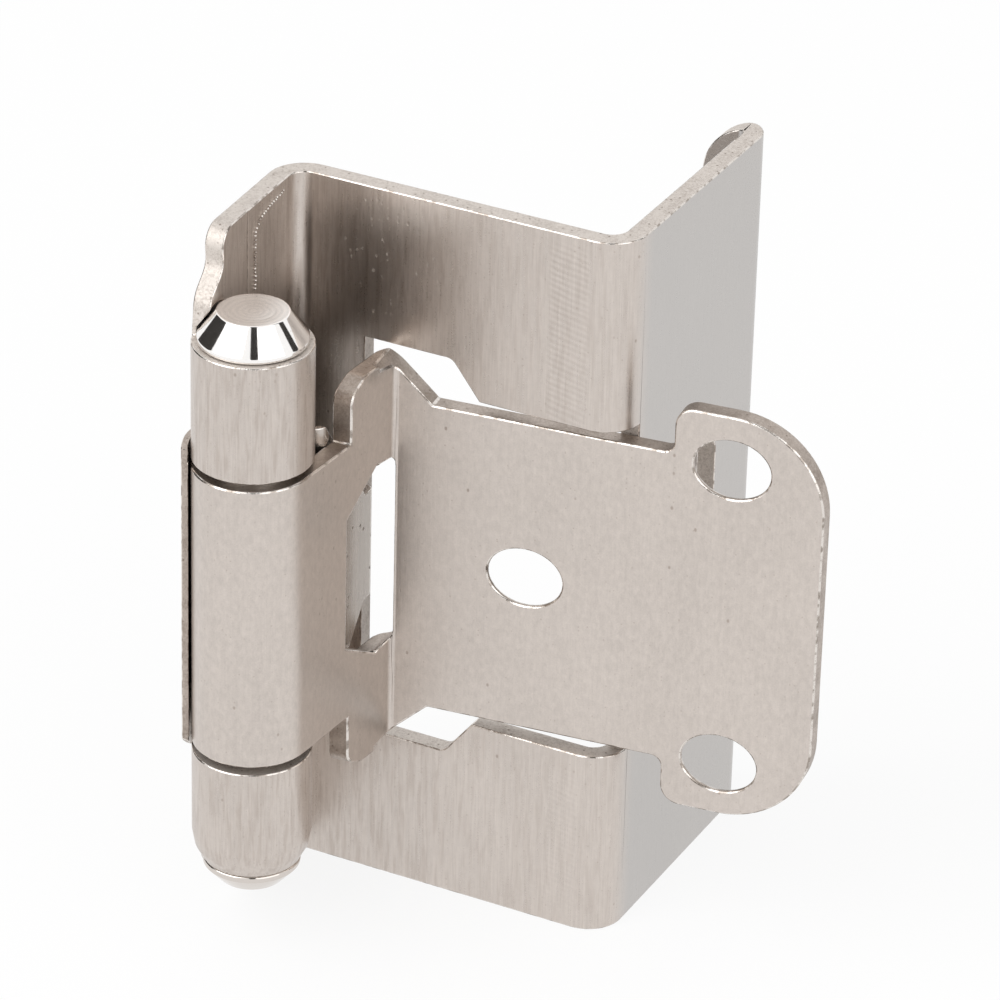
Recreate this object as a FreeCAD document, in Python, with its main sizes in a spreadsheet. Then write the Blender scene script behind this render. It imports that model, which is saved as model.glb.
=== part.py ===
import FreeCAD, Part
import math
import os
import Sketcher

# Self-closing cabinet hinge: two wings folded from sheet steel, a riveted pin and a leaf spring.
# The origin is on the pin's axis, halfway up. X runs along the frame wing's front plate, Y goes
# back into the cabinet and Z is up. The door wing stands closed, a little past parallel.

SIZES = {
    # Frame wing
    "frame_height": 57.0,
    "frame_sheet": 1.5,
    "front_plane": 12.65,
    "wrap_plane": 23.0,
    "wrap_room": 20.8,
    "lip_reach": 4.9,
    "lip_corner": 4.1,
    "side_tilt": 3.0,
    "inner_bend": 1.3,
    "lip_bend": 0.7,
    "shoulder_front": 0.75,
    "shoulder_round": 1.5,
    "shoulder_round_share": 0.205,
    "knee_front": 1.05,
    "knee_share": 4.45 / 7.35,
    "throat_front": -0.9,
    "throat_share": 2.75 / 7.35,
    "throat_foot": -1.4,
    "throat_round": 2.0,
    "throat_round_share": 0.28,
    "low_throat": 0.1,
    "low_throat_height": 2.0,
    "low_shoulder": 6.2,
    "notch_depth": 6.0,
    "blank_room": 2.0,
    # Window and screw slot of the frame wing
    "window_left": 2.1,
    "window_half": 16.4,
    "window_corner": 9.2,
    "window_neck": 11.5,
    "window_round": 0.9,
    "neck_room": 0.85,
    "stop_gap": 0.15,
    "wrap_slot_place": 26.3,
    "wrap_slot_width": 4.9,
    "wrap_slot_length": 15.0,
    # Barrel
    "pin_diameter": 5.7,
    "pin_fit": 0.06,
    "knuckle_end": 21.15,
    "middle_half": 11.35,
    "knuckle_gap": 0.6,
    "roll_opening": 59.0,
    "seam_reach": 0.7,
    "seam_stretch": 1.12,
    "swage_height": 2.3,
    "swage_depth": 0.8,
    "swage_sweep": 300.0,
    # Pin heads
    "head_gap": 0.05,
    "head_room": 0.1,
    "head_rim": 4.0,
    "bottom_rim": 3.62,
    "rim_height": 0.45,
    "top_face": 2.62,
    "top_cone": 1.9,
    "bottom_face": 2.5,
    "bottom_cone": 1.3,
    # Door wing
    "door_sheet": 1.5,
    "door_plane": 11.0,
    "closing_turn": 6.6,
    "web_tilt": 10.0,
    "fold_radius": 0.5,
    "ear_near": 5.3,
    "ear_near_half": 15.2,
    "ear_rise_end": 7.2,
    "ear_half": 16.1,
    "ear_round": 1.3,
    "ear_far": 5.6,
    "neck_start": 9.4,
    "neck_half": 12.62,
    "head_start": 27.8,
    "head_half": 16.35,
    "head_end": 39.2,
    "head_corner": 7.0,
    "head_heel": 1.5,
    "head_crook": 0.8,
    "fold_slot_near": 4.9,
    "fold_slot_near_half": 5.35,
    "fold_slot_slant": 8.9,
    "fold_slot_rise": 0.25,
    "fold_slot_length": 15.7,
    "fold_slot_width": 1.7,
    "fold_slot_land": -0.25,
    "screw_width": 4.65,
    "screw_length": 5.8,
    "screw_sink": 1.1,
    "inner_screw_place": 16.8,
    "outer_screw_place": 32.2,
    "outer_screw_margin": 4.21,
    # Closing spring
    "leaf": 0.5,
    "leaf_room": 0.2,
    "leaf_half": 12.8,
    "leaf_waist_half": 11.4,
    "leaf_end_angle": 213.0,
    "leaf_end_taper": 3.6,
    "leaf_end_rise": 0.5,
    "leaf_end_start": -0.9,
    "waist_start": 0.2,
    "waist_slope": 0.7,
    "leaf_leg": 2.9,
    "leaf_turn": 0.75,
    "foot_end": -1.6,
    "foot_room": 0.05,
    "foot_bend": 0.45,
    "leg_taper_start": 5.0,
    "leg_taper_end": 9.8,
    "leg_end_half": 6.2,
    "foot_taper": 1.5,
    "foot_half": 4.4,
}

SMALLEST_LENGTH = 1e-3
SMALLEST_VOLUME = 1e-4
STRAIGHT_ENOUGH = 0.9999

doc = FreeCAD.newDocument("cabinet_hinge")
sheet = doc.addObject("Spreadsheet::Sheet", "Sizes")
for row, (alias, amount) in enumerate(SIZES.items(), start=1):
    sheet.set(f"A{row}", alias)
    sheet.set(f"B{row}", str(amount))
    sheet.setAlias(f"B{row}", alias)
doc.recompute()


def size(alias):
    """The number in the sheet's cell of that name."""
    return float(getattr(sheet, alias))


# Expressions that several pieces share
KNUCKLE_BORE = "(Sizes.pin_diameter / 2 + Sizes.pin_fit)"
FRAME_KNUCKLE = f"({KNUCKLE_BORE} + Sizes.frame_sheet)"
DOOR_KNUCKLE = f"({KNUCKLE_BORE} + Sizes.door_sheet)"
PLATE_BACK = "(Sizes.front_plane + Sizes.frame_sheet)"
DOOR_BACK = "(Sizes.door_plane + Sizes.door_sheet)"
SIDE_SIN = "sin(Sizes.side_tilt * 1deg)"
SIDE_COS = "cos(Sizes.side_tilt * 1deg)"
WEB_SIN = "sin(Sizes.web_tilt * 1deg)"
WEB_COS = "cos(Sizes.web_tilt * 1deg)"
CLOSE_SIN = "sin(Sizes.closing_turn * 1deg)"
CLOSE_COS = "cos(Sizes.closing_turn * 1deg)"


def knuckle_radius():
    """Outer radius of the frame wing's knuckles."""
    return size("pin_diameter") / 2 + size("pin_fit") + size("frame_sheet")


def failed(item):
    """Whether an object of the document did not come out."""
    return "Invalid" in item.State or "Error" in item.State


def origin_plane(body, role):
    """The body's own base plane with that role."""
    for feature in body.Origin.OriginFeatures:
        if feature.Role == role:
            return feature
    raise ValueError(f"{body.Label} has no {role}")


def new_sketch(body, label, role, lift=None):
    """An empty sketch on a base plane, lifted along the plane's normal by an expression."""
    sketch = body.newObject("Sketcher::SketchObject", f"{body.Name}_{label}")
    sketch.AttachmentSupport = [(origin_plane(body, role), "")]
    sketch.MapMode = "FlatFace"
    if lift is not None:
        sketch.setExpression("AttachmentOffset.Base.z", lift)
    return sketch


def name_constraint(sketch, constraint, name, expression):
    """Adds a driving constraint, names it and binds it to the sheet."""
    number = sketch.addConstraint(constraint)
    sketch.renameConstraint(number, name)
    sketch.setExpression(f"Constraints.{name}", expression)


def outline(body, label, role, loops, lift=None):
    """Closed outlines of straight edges; each corner is a pair of expressions."""
    sketch = new_sketch(body, label, role, lift)
    first = 0
    for loop_number, corners in enumerate(loops):
        count = len(corners)
        rough = []
        for index in range(count):
            angle = 2 * math.pi * index / count
            rough.append(FreeCAD.Vector(math.cos(angle), math.sin(angle), 0) * (10 + loop_number))
        for index in range(count):
            sketch.addGeometry(Part.LineSegment(rough[index], rough[(index + 1) % count]), False)
        for index in range(count):
            following = first + (index + 1) % count
            sketch.addConstraint(Sketcher.Constraint("Coincident", first + index, 2, following, 1))
        for index, (across, up) in enumerate(corners):
            edge = first + index
            tag = f"{loop_number}_{index}"
            level = Sketcher.Constraint("DistanceX", -1, 1, edge, 1, rough[index].x)
            name_constraint(sketch, level, f"across_{tag}", across)
            upright = Sketcher.Constraint("DistanceY", -1, 1, edge, 1, rough[index].y)
            name_constraint(sketch, upright, f"up_{tag}", up)
        first += count
    return sketch


def both_ways(corners):
    """The outline above the middle plane, and its mirror image below."""
    return [corners, [(across, f"-({up})") for across, up in corners]]


def rings(body, label, radii, lift=None):
    """Circles about the pin's axis; each radius is an expression."""
    sketch = new_sketch(body, label, "XY_Plane", lift)
    centre = FreeCAD.Vector(0, 0, 0)
    for index, radius in enumerate(radii):
        sketch.addGeometry(Part.Circle(centre, FreeCAD.Vector(0, 0, 1), 5.0 - index), False)
        sketch.addConstraint(Sketcher.Constraint("Coincident", index, 3, -1, 1))
        reach = Sketcher.Constraint("Radius", index, 5.0 - index)
        name_constraint(sketch, reach, f"radius_{index}", radius)
    return sketch


def oval(body, label, place, length, width, lift):
    """A level ellipse on the upright plane, centred on a place."""
    sketch = new_sketch(body, label, "XZ_Plane", lift)
    across, up = place
    long_half = FreeCAD.Vector(size(length) / 2, 0, 0)
    short_half = FreeCAD.Vector(0, size(width) / 2, 0)
    sketch.addGeometry(Part.Ellipse(long_half, short_half, FreeCAD.Vector(0, 0, 0)), False)
    sketch.exposeInternalGeometry(0)
    sketch.addConstraint(Sketcher.Constraint("Horizontal", 1))
    long_axis = Sketcher.Constraint("Distance", 1, size(length))
    name_constraint(sketch, long_axis, "long_axis", f"Sizes.{length}")
    short_axis = Sketcher.Constraint("Distance", 2, size(width))
    name_constraint(sketch, short_axis, "short_axis", f"Sizes.{width}")
    centre_across = Sketcher.Constraint("DistanceX", -1, 1, 0, 3, 1.0)
    name_constraint(sketch, centre_across, "centre_across", across)
    centre_up = Sketcher.Constraint("DistanceY", -1, 1, 0, 3, 1.0)
    name_constraint(sketch, centre_up, "centre_up", up)
    return sketch


def round_slot(body, label, role, place, length, width, upright, lift=None):
    """A slot with round ends, centred on a place; upright slots run along the sketch's second axis."""
    sketch = new_sketch(body, label, role, lift)
    across, up = place
    reach = (size(length) - size(width)) / 2
    radius = size(width) / 2
    run = FreeCAD.Vector(0, reach, 0) if upright else FreeCAD.Vector(reach, 0, 0)
    quarter = math.pi / 2 if upright else 0.0
    side = FreeCAD.Vector(radius, 0, 0) if upright else FreeCAD.Vector(0, -radius, 0)
    axis = FreeCAD.Vector(0, 0, 1)
    sketch.addGeometry(Part.LineSegment(side - run, side + run), False)
    far_circle = Part.Circle(run, axis, radius)
    sketch.addGeometry(Part.ArcOfCircle(far_circle, quarter - math.pi / 2, quarter + math.pi / 2), False)
    sketch.addGeometry(Part.LineSegment(run - side, run * -1 - side), False)
    near_circle = Part.Circle(run * -1, axis, radius)
    turned = quarter + math.pi / 2
    sketch.addGeometry(Part.ArcOfCircle(near_circle, turned, turned + math.pi), False)
    joins = ((0, 2, 1, 1), (1, 2, 2, 1), (2, 2, 3, 1), (3, 2, 0, 1))
    for first, first_end, second, second_end in joins:
        sketch.addConstraint(Sketcher.Constraint("Tangent", first, first_end, second, second_end))
    sketch.addConstraint(Sketcher.Constraint("Vertical" if upright else "Horizontal", 0))
    sketch.addConstraint(Sketcher.Constraint("Equal", 1, 3))
    name_constraint(sketch, Sketcher.Constraint("Radius", 1, radius), "radius", f"Sizes.{width} / 2")
    half_run = f"(Sizes.{length} - Sizes.{width}) / 2"
    far = (f"{across}", f"{up} + {half_run}") if upright else (f"{across} + {half_run}", f"{up}")
    near = (f"{across}", f"{up} - {half_run}") if upright else (f"{across} - {half_run}", f"{up}")
    far_across = Sketcher.Constraint("DistanceX", -1, 1, 1, 3, run.x)
    name_constraint(sketch, far_across, "far_across", far[0])
    far_up = Sketcher.Constraint("DistanceY", -1, 1, 1, 3, run.y)
    name_constraint(sketch, far_up, "far_up", far[1])
    free_axis = "DistanceY" if upright else "DistanceX"
    free_start = -run.y if upright else -run.x
    free_place = near[1] if upright else near[0]
    near_run = Sketcher.Constraint(free_axis, -1, 1, 3, 3, free_start)
    name_constraint(sketch, near_run, "near_run", free_place)
    return sketch


def lip_corner_outline(body, end_across, lift):
    """What the rounded upper corner takes off the end of the frame wing's lip."""
    sketch = new_sketch(body, "lip_corner", "XZ_Plane", lift)
    reach = size("lip_corner")
    top = size("frame_height") / 2
    end = size("wrap_plane") - size("lip_reach")
    centre = FreeCAD.Vector(end + reach, top - reach, 0)
    places = {
        0: (end - 1, top + 1), 1: (end + reach, top + 1), 2: (end + reach, top),
        3: (end, top - reach), 4: (end - 1, top - reach),
    }
    points = {number: FreeCAD.Vector(across, up, 0) for number, (across, up) in places.items()}
    circle = Part.Circle(centre, FreeCAD.Vector(0, 0, 1), reach)
    sketch.addGeometry(Part.LineSegment(points[0], points[1]), False)
    sketch.addGeometry(Part.LineSegment(points[1], points[2]), False)
    sketch.addGeometry(Part.ArcOfCircle(circle, math.pi / 2, math.pi), False)
    sketch.addGeometry(Part.LineSegment(points[3], points[4]), False)
    sketch.addGeometry(Part.LineSegment(points[4], points[0]), False)
    for edge in range(5):
        sketch.addConstraint(Sketcher.Constraint("Coincident", edge, 2, (edge + 1) % 5, 1))
    high = "Sizes.frame_height / 2"
    low = f"({high} - Sizes.lip_corner)"
    inner = f"({end_across} + Sizes.lip_corner)"
    wanted = (
        ("start", 0, 1, points[0], f"{end_across} - 1", f"{high} + 1"),
        ("above", 1, 1, points[1], inner, f"{high} + 1"),
        ("top", 2, 1, points[2], inner, high),
        ("centre", 2, 3, centre, inner, low),
        ("below", 4, 1, points[4], f"{end_across} - 1", low),
    )
    for name, edge, point, now, across, up in wanted:
        level = Sketcher.Constraint("DistanceX", -1, 1, edge, point, now.x)
        name_constraint(sketch, level, f"{name}_across", across)
        upright = Sketcher.Constraint("DistanceY", -1, 1, edge, point, now.y)
        name_constraint(sketch, upright, f"{name}_up", up)
    arc_end = Sketcher.Constraint("DistanceY", -1, 1, 3, 1, top - reach)
    name_constraint(sketch, arc_end, "end_up", low)
    return sketch


def mirror_cut(body, feature):
    """Repeats a cut below the middle plane, checked to have taken material away."""
    before = body.Shape.Volume
    mirrored = body.newObject("PartDesign::Mirrored", f"{feature.Name}_below")
    mirrored.Originals = [feature]
    mirrored.MirrorPlane = (origin_plane(body, "XY_Plane"), [""])
    body.Tip = mirrored
    doc.recompute()
    if body.Shape.Volume >= before - SMALLEST_VOLUME:
        raise ValueError(f"{mirrored.Name} took nothing away")


def pad(body, sketch, length):
    """A pad of that length, half to each side of its sketch."""
    feature = body.newObject("PartDesign::Pad", f"{sketch.Name}_pad")
    feature.Profile = sketch
    feature.SideType = "Symmetric"
    feature.setExpression("Length", length)
    doc.recompute()
    return feature


def cut(body, sketch, length, side="Symmetric", backwards=False):
    """A pocket, checked to have taken material away."""
    before = body.Shape.Volume
    feature = body.newObject("PartDesign::Pocket", f"{sketch.Name}_cut")
    feature.Profile = sketch
    feature.SideType = side
    feature.Reversed = backwards
    feature.setExpression("Length", length)
    doc.recompute()
    if body.Shape.Volume >= before - SMALLEST_VOLUME:
        raise ValueError(f"{feature.Name} took nothing away")
    return feature


def turned_cut(body, profile, sweep=None):
    """A groove turned about the pin's axis, all the way round or by a sweep in degrees."""
    before = body.Shape.Volume
    feature = body.newObject("PartDesign::Groove", f"{profile.Name}_groove")
    feature.Profile = profile
    feature.ReferenceAxis = (profile, ["V_Axis"])
    feature.Angle = 360
    if sweep is not None:
        feature.setExpression("Angle", sweep)
    doc.recompute()
    if body.Shape.Volume >= before - SMALLEST_VOLUME:
        raise ValueError(f"{feature.Name} took nothing away")
    return feature


def edges_at(feature, axis, places):
    """Names of the straight edges along an axis that pass through the given places."""
    picked = []
    for number, edge in enumerate(feature.Shape.Edges, start=1):
        if edge.Curve.TypeId != "Part::GeomLine":
            continue
        start, end = edge.Vertexes[0].Point, edge.Vertexes[-1].Point
        along = end - start
        if along.Length < SMALLEST_LENGTH or abs(along.normalize().dot(axis)) < STRAIGHT_ENOUGH:
            continue
        for place in places:
            gap = start - place
            if (gap - axis * gap.dot(axis)).Length < SMALLEST_LENGTH:
                picked.append(f"Edge{number}")
                break
    if not picked:
        raise ValueError(f"{feature.Name} has no edge there")
    return picked


def round_edges(body, label, axis, places, radius):
    """Rounds the edges along an axis through the given places."""
    base = body.Tip
    feature = body.newObject("PartDesign::Fillet", f"{body.Name}_{label}")
    feature.Base = (base, edges_at(base, axis, places))
    feature.setExpression("Radius", radius)
    doc.recompute()
    if failed(feature):
        raise ValueError(f"{feature.Name} did not come out")
    return feature


def sink_ovals(body, plane, depth):
    """Bevels the oval edges that lie on the plate's plane at that depth."""
    base = body.Tip
    names = []
    for number, edge in enumerate(base.Shape.Edges, start=1):
        level = abs(edge.Vertexes[0].Point.y - plane) < SMALLEST_LENGTH
        if level and edge.isClosed():
            names.append(f"Edge{number}")
    if not names:
        raise ValueError(f"{base.Name} has no oval edge there")
    feature = body.newObject("PartDesign::Chamfer", f"{body.Name}_screw_sinks")
    feature.Base = (base, names)
    feature.setExpression("Size", depth)
    doc.recompute()
    if failed(feature):
        raise ValueError(f"{feature.Name} did not come out")
    return feature


def sketch_corner(sketch, index):
    """A corner of a flat outline, where the sketch lies in space."""
    return sketch.Placement.multVec(sketch.Geometry[index].StartPoint)


X_AXIS = FreeCAD.Vector(1, 0, 0)
Y_AXIS = FreeCAD.Vector(0, 1, 0)
Z_AXIS = FreeCAD.Vector(0, 0, 1)


def rolled_seam(strip_angle, turn_sign, inner, outer):
    """The sliver between a roll's blunt end and the strip it was rolled from, as an outline."""
    reach = f"({outer} + Sizes.seam_reach)"
    foot = (f"{inner} * cos({strip_angle} * 1deg)", f"{inner} * sin({strip_angle} * 1deg)")
    along = f"({strip_angle} + {turn_sign * -90})"
    top = (
        f"{foot[0]} + {reach} * cos({along} * 1deg)",
        f"{foot[1]} + {reach} * sin({along} * 1deg)",
    )
    end_angle = f"({strip_angle} + {-turn_sign} * Sizes.roll_opening)"
    far = f"{reach} * Sizes.seam_stretch"
    end = (f"{far} * cos({end_angle} * 1deg)", f"{far} * sin({end_angle} * 1deg)")
    return [("0", "0"), foot, top, end]


def frame_wing():
    """The wing that wraps the cabinet's face frame, with the two outer knuckles."""
    body = doc.addObject("PartDesign::Body", "frame_wing")
    body.Label = "frame_wing"
    inner_x = "(Sizes.wrap_plane - Sizes.frame_sheet)"
    lip_front = f"({PLATE_BACK} + Sizes.wrap_room)"
    lip_back = f"({lip_front} + Sizes.frame_sheet)"
    lip_end = "(Sizes.wrap_plane - Sizes.lip_reach)"
    folds = outline(body, "folds", "XY_Plane", [[
        (f"-{FRAME_KNUCKLE} * {SIDE_COS}", f"-{FRAME_KNUCKLE} * {SIDE_SIN}"),
        (f"-({FRAME_KNUCKLE} + {PLATE_BACK} * {SIDE_SIN}) / {SIDE_COS}", PLATE_BACK),
        (inner_x, PLATE_BACK),
        (inner_x, lip_front),
        (lip_end, lip_front),
        (lip_end, lip_back),
        ("Sizes.wrap_plane", lip_back),
        ("Sizes.wrap_plane", "Sizes.front_plane"),
        (f"-({KNUCKLE_BORE} + Sizes.front_plane * {SIDE_SIN}) / {SIDE_COS}", "Sizes.front_plane"),
        (f"-{KNUCKLE_BORE} * {SIDE_COS}", f"-{KNUCKLE_BORE} * {SIDE_SIN}"),
    ]])
    pad(body, folds, "Sizes.frame_height")
    inside = [sketch_corner(folds, 8), sketch_corner(folds, 2)]
    outside = [sketch_corner(folds, 1), sketch_corner(folds, 7)]
    round_edges(body, "bends_inside", Z_AXIS, inside, "Sizes.inner_bend")
    round_edges(body, "bends_outside", Z_AXIS, outside, "Sizes.inner_bend + Sizes.frame_sheet")
    round_edges(body, "lip_inside", Z_AXIS, [sketch_corner(folds, 3)], "Sizes.lip_bend")
    round_edges(body, "lip_outside", Z_AXIS, [sketch_corner(folds, 6)], "Sizes.lip_bend + Sizes.frame_sheet")
    roll = rings(body, "roll", [FRAME_KNUCKLE])
    pad(body, roll, "Sizes.frame_height")
    bore = rings(body, "bore", [KNUCKLE_BORE])
    cut(body, bore, "Sizes.frame_height * 2")
    seam = outline(
        body, "seam", "XY_Plane",
        [rolled_seam("(180 + Sizes.side_tilt)", 1, KNUCKLE_BORE, FRAME_KNUCKLE)],
    )
    cut(body, seam, "Sizes.frame_height * 2")
    half = "Sizes.frame_height / 2"
    clear = "(-Sizes.pin_diameter * 2)"
    above = "Sizes.frame_height"
    trim = outline(body, "trim", "XY_Plane", [[
        (f"-{KNUCKLE_BORE}", clear),
        ("Sizes.front_plane", clear),
        ("Sizes.front_plane", "Sizes.notch_depth"),
        (f"-{KNUCKLE_BORE}", "Sizes.notch_depth"),
    ]], lift="Sizes.knuckle_end")
    upper_trim = cut(body, trim, half, side="One side", backwards=True)
    mirror_cut(body, upper_trim)
    band = f"({half} - Sizes.knuckle_end)"
    shoulder = outline(body, "shoulder", "YZ_Plane", [
        [
            (clear, "Sizes.knuckle_end"),
            ("Sizes.throat_foot", "Sizes.knuckle_end"),
            ("Sizes.throat_front", f"Sizes.knuckle_end + Sizes.throat_share * {band}"),
            ("Sizes.knee_front", f"Sizes.knuckle_end + Sizes.knee_share * {band}"),
            ("Sizes.shoulder_front", half),
            ("Sizes.shoulder_front", above),
            (clear, above),
        ],
        [
            (clear, "-Sizes.knuckle_end"),
            ("Sizes.low_throat", "-Sizes.knuckle_end"),
            ("Sizes.low_throat", "-(Sizes.knuckle_end + Sizes.low_throat_height)"),
            ("Sizes.low_shoulder", f"-{half}"),
            ("Sizes.low_shoulder", f"-{above}"),
            (clear, f"-{above}"),
        ],
    ])
    cut(body, shoulder, "Sizes.pin_diameter * 3")
    throat_round = f"min(Sizes.throat_round; Sizes.throat_round_share * {band})"
    round_edges(body, "throat_corner", X_AXIS, [sketch_corner(shoulder, 2)], throat_round)
    shoulder_round = f"min(Sizes.shoulder_round; Sizes.shoulder_round_share * {band})"
    shoulder_corners = [sketch_corner(shoulder, index) for index in (3, 4, 9, 10)]
    round_edges(body, "shoulder_corners", X_AXIS, shoulder_corners, shoulder_round)
    rim_top = "(Sizes.knuckle_end + Sizes.head_gap + Sizes.rim_height + Sizes.head_room)"
    relief = outline(body, "head_relief", "XZ_Plane", [[
        ("0", "Sizes.knuckle_end"),
        ("Sizes.head_rim + Sizes.head_room", "Sizes.knuckle_end"),
        ("Sizes.head_rim + Sizes.head_room", rim_top),
        ("Sizes.top_face + Sizes.head_room", f"{rim_top} + Sizes.top_cone"),
        ("0", f"{rim_top} + Sizes.top_cone"),
    ]])
    upper_relief = turned_cut(body, relief)
    mirror_cut(body, upper_relief)
    swage_start = "-(Sizes.knuckle_end - Sizes.swage_height)"
    swage_end = f"-({FRAME_KNUCKLE} - Sizes.swage_depth)"
    below = "-(Sizes.knuckle_end + Sizes.blank_room)"
    swage = outline(body, "swage", "XZ_Plane", [[
        (f"-{FRAME_KNUCKLE}", swage_start),
        (f"-({FRAME_KNUCKLE} - Sizes.swage_depth / 4)", "-(Sizes.knuckle_end - Sizes.swage_height / 2)"),
        (swage_end, "-Sizes.knuckle_end"),
        (swage_end, below),
        (f"-({FRAME_KNUCKLE} + Sizes.blank_room)", below),
        (f"-({FRAME_KNUCKLE} + Sizes.blank_room)", swage_start),
    ]])
    turned_cut(body, swage, sweep="Sizes.swage_sweep")
    notch_half = "(Sizes.middle_half + Sizes.knuckle_gap)"
    notch = outline(body, "notch", "YZ_Plane", [[
        (clear, f"-{notch_half}"),
        ("Sizes.notch_depth", f"-{notch_half}"),
        ("Sizes.notch_depth", notch_half),
        (clear, notch_half),
    ]])
    cut(body, notch, "Sizes.pin_diameter * 3")
    neck = "(Sizes.neck_half + Sizes.neck_room)"
    right = "(Sizes.wrap_plane + Sizes.blank_room)"
    window_start = "(Sizes.front_plane - Sizes.blank_room)"
    window = outline(body, "window", "XZ_Plane", [[
        ("Sizes.window_left", "Sizes.window_half"),
        ("Sizes.window_corner", "Sizes.window_half"),
        ("Sizes.window_neck", neck),
        (right, neck),
        (right, f"-{neck}"),
        ("Sizes.window_neck", f"-{neck}"),
        ("Sizes.window_corner", "-Sizes.window_half"),
        ("Sizes.window_left", "-Sizes.window_half"),
    ]], lift=f"-{window_start}")
    stop_plane = f"(({DOOR_BACK} + Sizes.wrap_plane * {CLOSE_SIN}) / {CLOSE_COS} + Sizes.stop_gap)"
    cut(body, window, f"{stop_plane} - {window_start}", side="One side")
    window_corners = [sketch_corner(window, index) for index in (1, 6)]
    round_edges(body, "window_corners", Y_AXIS, window_corners, "Sizes.window_round")
    wrap_slot = round_slot(
        body, "wrap_slot", "YZ_Plane", ("Sizes.wrap_slot_place", "0"),
        "wrap_slot_length", "wrap_slot_width", upright=True, lift=right,
    )
    through = "Sizes.frame_sheet + 2 * Sizes.blank_room"
    cut(body, wrap_slot, through, side="One side")
    lip = lip_corner_outline(body, lip_end, lift=f"-({lip_front} - Sizes.blank_room)")
    upper_lip = cut(body, lip, through, side="One side")
    mirror_cut(body, upper_lip)
    return body


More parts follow.
